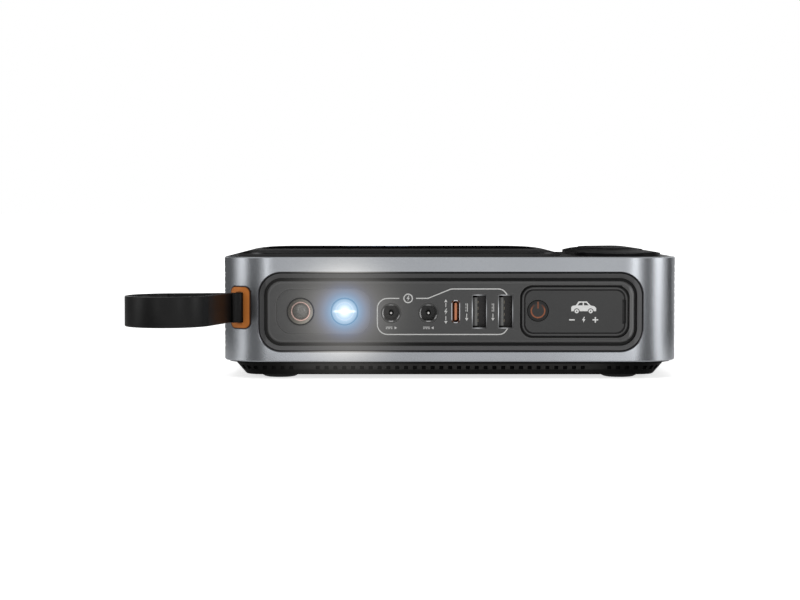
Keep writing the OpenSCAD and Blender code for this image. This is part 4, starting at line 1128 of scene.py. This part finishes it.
def square_front(x, y, z):
    """Moves a point near a front window's corner so that the corner's radius is 1 mm smaller."""
    off = Vector((abs(x - BEZEL_MID.x) - BEZEL_HALF.x, abs(z - BEZEL_MID.z) - BEZEL_HALF.z))
    off += Vector((1.0, 1.0)) * (1.0 + OLD_R)
    near = off.x >= -0.01 and off.y >= -0.01 and 5.0 < off.length < OLD_R + 2.9
    if y > SLEEVE_Y + FRONT_DEPTH or not near:
        return x, y, z
    toward = off.normalized()
    return (x + math.copysign(1.0 - toward.x, x - BEZEL_MID.x), y,
            z + math.copysign(1.0 - toward.y, z - BEZEL_MID.z))


def turned_eyelet(x, y, z):
    """Turns the eyelet, and the sleeve's opening for it, a little toward the front."""
    angle = math.radians(EYELET_TURN)
    u, v = x + CORNER_X, y + CORNER_Y
    return (-CORNER_X + u * math.cos(angle) - v * math.sin(angle),
            -CORNER_Y + u * math.sin(angle) + v * math.cos(angle), z)


def sleeve_shape(x, y, z):
    """Squarer window, and the eyelet's opening turned with it."""
    aside = math.degrees(math.atan2(-CORNER_X - x, -CORNER_Y - y))
    start, end = OPENING_TURNS
    if start < aside < end and EYELET_LOW.z < z < EYELET_HIGH.z:
        return turned_eyelet(x, y, z)
    return square_front(x, y, z) if y < SLEEVE_Y + 4.0 else (x, y, z)


def cut_walls(mesh):
    """Cuts the walls into upright strips where the flats ease into the corners."""
    work = bmesh.new()
    work.from_mesh(mesh)
    for axis, far in ((0, CORNER_X), (1, CORNER_Y)):
        for back in (CORNER_EASE / 2, CORNER_EASE):
            for side in (-1, 1):
                cut_across(work, axis, side * (far - back) * MM, 0.02 * MM)
    work.to_mesh(mesh)
    work.free()


def wall_normals(mesh):
    """Even normals on the sleeve's upright walls, eased from the flats into the corners."""
    smooth(mesh)
    normals = [Vector(n.vector) for n in mesh.corner_normals]
    far_x, far_y = CORNER_X - CORNER_EASE, CORNER_Y - CORNER_EASE
    for face in mesh.polygons:
        for i in face.loop_indices:
            place = mesh.vertices[mesh.loops[i].vertex_index].co / MM
            out = Vector((place.x - max(-far_x, min(far_x, place.x)),
                          place.y - max(-far_y, min(far_y, place.y)), 0))
            flat = Vector((face.normal.x, face.normal.y, 0))
            if out.length < 1 or flat.length < LEVEL_PART:
                continue
            out.normalize()
            if abs(out.dot(flat.normalized())) < LIKENESS:
                continue
            side = math.copysign(flat.length, out.dot(flat))
            normals[i] = (out * side + Vector((0, 0, face.normal.z))).normalized()
    mesh.normals_split_custom_set(normals)


def add_bodies():
    merged_copy("top_cover", "top-cover-body", lowered_left)
    merged_copy("front_panel", "front-panel-body", square_front)
    merged_copy("front_bezel", "front-bezel-body", square_front)
    merged_copy("base_tray", "base-tray-body")
    merged_copy("display_window", "display-glass", lambda x, y, z: (x, y, z - 0.06))
    sleeve = merged_copy("side_frame", "side-frame-body", sleeve_shape, even=False)
    cut_walls(sleeve.data)
    wall_normals(sleeve.data)
    merged_copy("strap_eyelet", "strap-eyelet-body", turned_eyelet)


add_bodies()


# ---- Rubber cover ----

# Half of the stretch at the hinge line that is cut into strips, and the cuts on each side of the hinge line
FOLD_HALF = 1.5
FOLD_CUTS = 5


def rubber_cover():
    """The cover and its anchored part as one moulding, cut into narrow strips across the hinge line."""
    work = bmesh.new()
    for node in ("cover_anchor", "socket_cover"):
        work.from_mesh(frame["nodes"][node].data)
    bmesh.ops.remove_doubles(work, verts=work.verts, dist=0.002 * MM)
    half_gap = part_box("socket_cover")[0].x - HINGE.x
    near = [v for v in work.verts if abs(abs(v.co.x - HINGE.x) - half_gap) < 0.01 * MM]
    ends = [f for f in work.faces if all(v in near for v in f.verts)]
    bmesh.ops.delete(work, geom=ends, context="FACES_ONLY")
    for vertex in near:
        vertex.co.x = HINGE.x
    bmesh.ops.remove_doubles(work, verts=near, dist=0.01 * MM)
    bmesh.ops.dissolve_limit(work, angle_limit=math.radians(0.5), verts=work.verts,
                             edges=work.edges)
    sharp = [e for e in work.edges if len(e.link_faces) == 2
             and e.calc_face_angle() > math.radians(50)]
    bmesh.ops.bevel(work, geom=sharp, offset=0.1 * MM, segments=2, profile=0.5,
                    affect="EDGES", clamp_overlap=True)
    for k in range(-FOLD_CUTS, FOLD_CUTS + 1):
        cut_across(work, 0, HINGE.x + k * FOLD_HALF / FOLD_CUTS * MM)
    bmesh.ops.recalc_face_normals(work, faces=work.faces)
    cover = link("rubber_cover", into_mesh(work, "rubber_cover", FINISHES["cover_rubber"]))
    even_out(cover, 40)
    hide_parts("cover_anchor", "socket_cover")
    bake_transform(cover)


rubber_cover()


# ---- Printed marks ----

INK = 0.04
SINK = 0.01
ROW = USB_A[0][1]
print_ink = material("print_white", (0.5, 0.5, 0.49), 0.5, grain=0.35, blotch=0.2, bump=0.05,
                     wear=0.0, recess_shade=0.0)
mark_ink = material("print_bright", (0.66, 0.66, 0.65), 0.5, grain=0.35, blotch=0.15,
                    bump=0.05, wear=0.0, recess_shade=0.0)


def printed_line(name, corners, width=0.42):
    """Line printed on the panel along a rounded path of (x, rise over the row, radius)."""
    path = [(x * MM, z * MM, 0.0)
            for x, z in rounded_path([(x, ROW + rise, radius) for x, rise, radius in corners])]
    mesh = grow(name, BAND, {"Width": INK * MM, "Thickness": width * MM,
                             "Corner": INK * 0.3 * MM, "Finish": print_ink}, path)
    front_place(mesh, PANEL_Y - (INK / 2 - SINK))
    piece = link(name, mesh)
    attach(piece, "case")


def printed(name, loops, body="case", depth=PANEL_Y, finish=print_ink):
    flat_piece(name, loops, INK, depth + SINK, finish, body)


def bar(x, z, width, height):
    w, h = width / 2, height / 2
    return [(x - w, z - h), (x + w, z - h), (x + w, z + h), (x - w, z + h)]


def disc(x, z, radius, steps=20):
    return arc((x, z), radius, 0, 360, steps)[:-1]


def bolt(x, z, height):
    """Lightning bolt."""
    shape = [(0.12, 1.0), (-0.55, -0.15), (-0.06, -0.15), (-0.2, -1.0), (0.55, 0.2),
             (0.06, 0.2), (0.4, 1.0)]
    return [(x + u * height / 2, z + v * height / 2) for u, v in shape]


def arrow(x, z, size, turn):
    """Small triangle that points along an angle."""
    return arc((x, z), size, turn, turn + 240, 2)


def direct_current(x, z, width, upright=False):
    """Line over three dashes; upright turns it by a quarter."""
    dash = width * 0.24
    parts = [(0.0, 0.3, width, 0.26)] + [(k * width * 0.38, -0.3, dash, 0.26) for k in (-1, 0, 1)]
    if upright:
        return [bar(x + v, z + u, h, w) for u, v, w, h in parts]
    return [bar(x + u, z + v, w, h) for u, v, w, h in parts]


def add_outline():
    """Line round the charging sockets, open at the round mark and at the last socket."""
    socket_x = USB_A[1][0]
    mark_x = -16.7
    left = -28.8
    top, step, low = 8.9, 5.2, -9.0
    printed_line("outline_left", [
        (mark_x - 3.5, step, 0), (left, step, 4.0), (left, low, 4.0),
        (socket_x - 0.9, low, 3.2), (socket_x + 0.75, low + 2.3, 0)])
    printed_line("outline_right", [
        (mark_x + 3.1, step, 0), (-8.9, step, 2.5), (0.2, top, 3.0),
        (socket_x - 1.3, top, 3.4), (socket_x + 0.6, top - 2.2, 0)])
    printed("round_mark", [disc(mark_x, ROW + step, 1.9), disc(mark_x, ROW + step, 1.45),
                           bolt(mark_x, ROW + step, 2.3)])


def add_socket_marks():
    """Signs for the current's kind and way, where each socket has its label."""
    under = ROW - 6.4
    for name, x, turn in (("jack_mark_out", JACKS[0][0], 0), ("jack_mark_in", JACKS[1][0], 180)):
        printed(name, direct_current(x - 0.8, under, 2.6) + [arrow(x + 1.7, under, 0.65, turn)])
    x = USB_C[0] - 3.9
    printed("port_mark_c", [arrow(x, ROW + 4.1, 0.75, 90), bar(x, ROW + 2.6, 0.3, 1.6),
                            bolt(x, ROW, 2.4),
                            bar(x, ROW - 2.6, 0.3, 1.6), arrow(x, ROW - 4.1, 0.75, -90)])
    for k, (socket_x, _) in enumerate(USB_A):
        x = socket_x - 5.0
        printed(f"port_mark_a{k + 1}", direct_current(x, ROW + 1.6, 3.2, upright=True)
                + [bar(x, ROW - 1.6, 0.3, 1.6), arrow(x, ROW - 2.9, 0.75, -90)])


def car_sign(x, z):
    """Side view of a plain saloon car: body with two windows, and wheels with hubs."""
    wheel_x, wheel_z, wheel_r, arch_r = 2.75, -1.35, 0.82, 1.15
    under = [point for side in (1, -1)
             for point in arc((side * wheel_x, wheel_z), arch_r, 0, 180, 8)]
    body = [(-4.9, wheel_z), (-4.9, 0.3), (-4.3, 0.8), (-3.1, 0.95), (-2.0, 2.5), (1.2, 2.5),
            (2.7, 0.95), (4.2, 0.6), (4.9, -0.1), (4.9, wheel_z)]
    rear = [(-2.4, 0.95), (-1.6, 2.0), (-0.4, 2.0), (-0.4, 0.95)]
    fore = [(0.1, 0.95), (0.1, 2.0), (1.0, 2.0), (2.0, 0.95)]
    loops = [body + under, rear, fore]
    for side in (-1, 1):
        loops += [disc(side * wheel_x, wheel_z, wheel_r), disc(side * wheel_x, wheel_z, 0.3, 8)]
    return [[(x + u, z + v) for u, v in loop] for loop in loops]


def add_cover_marks():
    """On the rubber cover: a car, and under it the two poles with a bolt between."""
    x, poles, pole_z = 52.25, 4.6, ROW - 3.25
    printed("cover_car", car_sign(x, ROW + 1.5), "cover", COVER_Y, mark_ink)
    lying = [bar(x + poles, pole_z, 2.2, 0.5)]
    upright = [bar(x + poles, pole_z + side * 0.68, 0.5, 0.86) for side in (1, -1)]
    minus = [bar(x - poles, pole_z, 2.2, 0.5)]
    printed("cover_poles", minus + [bolt(x, pole_z, 2.4)] + lying + upright, "cover",
            COVER_Y, mark_ink)


add_outline()
add_socket_marks()
add_cover_marks()


# ---- Display ----

DISPLAY_LOW, DISPLAY_HIGH = box("display_window")
CROWN_R = 420.0
CROWN_FLAT = 4.0
BAR_T = 0.03
STROKE = 1.3
display_light = material("display_light", (0.02, 0.03, 0.06), 0.4, recess_shade=0.0,
                         Emission_Color=(0.36, 0.46, 0.6, 1.0), Emission_Strength=0.35)
# Bars of a digit: their middles as shares of half its width and height
DIGIT_BARS = {"top": (0, 1), "middle": (0, 0), "bottom": (0, -1), "upper_left": (-1, 0.5),
              "upper_right": (1, 0.5), "lower_right": (1, -0.5)}
SEVEN = ("top", "upper_right", "lower_right")
FIVE = ("top", "upper_left", "middle", "lower_right", "bottom")


def crown_height(y):
    """Height just over the glass, flat along its middle and falling away beside it."""
    return DISPLAY_HIGH.z - max(0.0, y * y - CROWN_FLAT * CROWN_FLAT) / (2 * CROWN_R) - 0.035


def add_digit(name, parts, x, y, width, height):
    """Digit of thin lit bars that lies on the crown, read from the front."""
    work = bmesh.new()
    for part in parts:
        u, v = DIGIT_BARS[part]
        mid_x, mid_y = x + u * (width - STROKE) / 2, y + v * (height - STROKE) / 2
        size_x = STROKE if u else width - 2.4 * STROKE
        size_y = height / 2 - 1.2 * STROKE if u else STROKE
        corners = [work.verts.new((p * MM, q * MM, crown_height(q) * MM))
                   for p, q in bar(mid_x, mid_y, size_x, size_y)]
        thicken(work, [work.faces.new(corners)], -BAR_T)
    bmesh.ops.recalc_face_normals(work, faces=work.faces)
    mesh = into_mesh(work, name, display_light)
    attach(link(name, mesh), "case")


def add_display():
    middle_x = (DISPLAY_LOW.x + DISPLAY_HIGH.x) / 2
    for name, parts, side in (("digit_seven", SEVEN, -1), ("digit_five", FIVE, 1)):
        add_digit(name, parts, middle_x + side * 7.1, 4.5, 11.6, 11.0)
    row_y = DISPLAY_LOW.y + 2.2
    mesh = grow("charge_row", ROW_TREE, {
        "Count": 5, "Step": 5.4 * MM, "Length": 4.2 * MM, "Height": 1.2 * MM,
        "Thickness": BAR_T * MM, "Finish": display_light})
    start = Vector((middle_x - 10.8, row_y, crown_height(row_y)))
    mesh.transform(Matrix.Translation(start * MM))
    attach(link("charge_row", mesh), "case")


add_display()


# ---- Studio, in metres ----

def bare_tree(data):
    """An emptied node tree of a new material or world."""
    data.use_nodes = True
    data.node_tree.nodes.clear()
    return data.node_tree


def ray_kinds(tree):
    """Whether a ray comes from the camera, from a glossy face or through a clear one."""
    seen = put(tree, "ShaderNodeLightPath").outputs
    return [Term(tree, seen[f"Is {kind} Ray"]) for kind in ("Camera", "Glossy", "Transmission")]


def add_floor():
    """Pale floor that keeps a faint shadow near the object and is white far off."""
    made = bpy.data.materials.new("floor_white")
    tree = bare_tree(made)
    away = result(tree, "ShaderNodeVectorMath", {0: object_place(tree)}, "Value",
                  operation="LENGTH")
    camera, glossy, clear = ray_kinds(tree)
    bright = span(away, 0.25, 0.9) * 0.4 + 0.7
    shown = glossy * 0.3 + largest(camera, clear) * bright
    paper = put(tree, "ShaderNodeBsdfDiffuse", {"Color": (0.8, 0.8, 0.8, 1.0)})
    light = put(tree, "ShaderNodeEmission", {"Color": (1.0, 1.0, 1.0, 1.0), "Strength": shown})
    both = put(tree, "ShaderNodeAddShader", {0: paper.outputs[0], 1: light.outputs[0]})
    put(tree, "ShaderNodeOutputMaterial", {"Surface": both.outputs[0]})
    mesh = bpy.data.meshes.new("floor")
    far = 30.0
    mesh.from_pydata([(-far, -far, 0), (far, -far, 0), (far, far, 0), (-far, far, 0)], [],
                     [(0, 1, 2, 3)])
    mesh.materials.append(made)
    link("floor", mesh)


def add_world():
    """White to the camera and in reflections, dim as a light on the object."""
    world = bpy.data.worlds.new("studio")
    tree = bare_tree(world)
    strength = largest(*ray_kinds(tree)) * 0.75 + 0.25
    sky = put(tree, "ShaderNodeBackground", {"Color": (1, 1, 1, 1), "Strength": strength})
    put(tree, "ShaderNodeOutputWorld", {"Surface": sky.outputs[0]})
    bpy.context.scene.world = world


def around(azimuth, distance, height):
    turn = math.radians(azimuth)
    return Vector((distance * math.sin(turn), -distance * math.cos(turn), height))


def soft_box(name, azimuth, distance, height, width, tall, radiance, glossy=True, diffuse=True):
    """Area lamp that faces the object; its radiance doesn't depend on its size."""
    data = bpy.data.lights.new(name, "AREA")
    data.shape = "RECTANGLE"
    data.size = width
    data.size_y = tall
    data.energy = radiance * math.pi * width * tall
    lamp = bpy.data.objects.new(name, data)
    lamp.location = around(azimuth, distance, height)
    lamp.rotation_euler = (Vector((0, 0, 0.03)) - lamp.location).to_track_quat(
        "-Z", "Y").to_euler()
    lamp.visible_camera = False
    lamp.visible_glossy = glossy
    lamp.visible_diffuse = diffuse
    bpy.context.scene.collection.objects.link(lamp)


def card_cloth(name, radiance):
    """Studio cloth that gives off the same light from every side."""
    made = bpy.data.materials.new(name)
    tree = bare_tree(made)
    light = put(tree, "ShaderNodeEmission", {"Strength": radiance})
    put(tree, "ShaderNodeOutputMaterial", {"Surface": light.outputs[0]})
    return made


def card(name, start, end, near, far, tall, radiance):
    """Cloth on the floor and up behind it, between two azimuths, seen in glossy faces only."""
    steps = 8
    rings = [(near, 0.001), (far, 0.001), (far, tall)]
    corners = [tuple(around(start + (end - start) * i / steps, distance, height))
               for i in range(steps + 1) for distance, height in rings]
    faces = [(a, a + 3, a + 4, a + 1) for i in range(steps) for a in (3 * i, 3 * i + 1)]
    mesh = bpy.data.meshes.new(name)
    mesh.from_pydata(corners, [], faces)
    mesh.materials.append(card_cloth(name, radiance))
    piece = link(name, mesh)
    for kind in ("camera", "diffuse", "transmission", "shadow"):
        setattr(piece, f"visible_{kind}", False)


def add_lights():
    """Soft boxes light the object; strips and cards show in its glossy faces only."""
    soft_box("key", -20, 1.3, 1.25, 1.5, 0.9, 3.4, glossy=False)
    soft_box("overhead", 0, 0.1, 1.4, 1.2, 1.2, 0.7, glossy=False)
    soft_box("front_fill", 10, 1.6, 0.5, 1.2, 0.8, 1.2, glossy=False)
    soft_box("left_strip", -27, 1.6, 0.25, 0.15, 0.9, 4.0, diffuse=False)
    soft_box("right_strip", 31, 1.6, 0.25, 0.26, 0.9, 4.4, diffuse=False)
    soft_box("left_box", -75, 1.2, 0.35, 0.38, 0.9, 2.3)
    soft_box("right_box", 76, 1.2, 0.35, 0.37, 0.9, 3.8)
    card("dark_left", -40, -62, 0.1, 0.9, 0.9, 0.3)
    card("dark_right", 47, 64, 0.1, 0.9, 0.9, 0.18)
    card("dark_left_back", -91, -140, 0.22, 0.9, 0.9, 0.22)
    card("dark_left_low", -73, -92, 0.2, 0.34, 0.002, 0.15)
    card("dark_right_back", 94, 112, 0.22, 0.9, 0.9, 0.06)
    card("dark_right_low", 76, 95, 0.2, 0.34, 0.002, 0.06)
    card("pale_front", -3, 24, 0.11, 0.9, 0.9, 1.25)
    card("dark_behind", 166, 194, 0.16, 0.8, 1.2, 0.002)
    card("bright_left_low", -22, -33, 0.11, 1.3, 0.002, 2.2)
    card("bright_right_low", 24, 42, 0.11, 1.3, 0.002, 2.2)
    card("bright_left_side", -65, -73, 0.11, 1.3, 0.002, 1.6)
    card("bright_right_side", 65, 76, 0.11, 1.3, 0.002, 1.9)


add_floor()
add_world()
add_lights()
bpy.context.scene.view_settings.view_transform = "Standard"
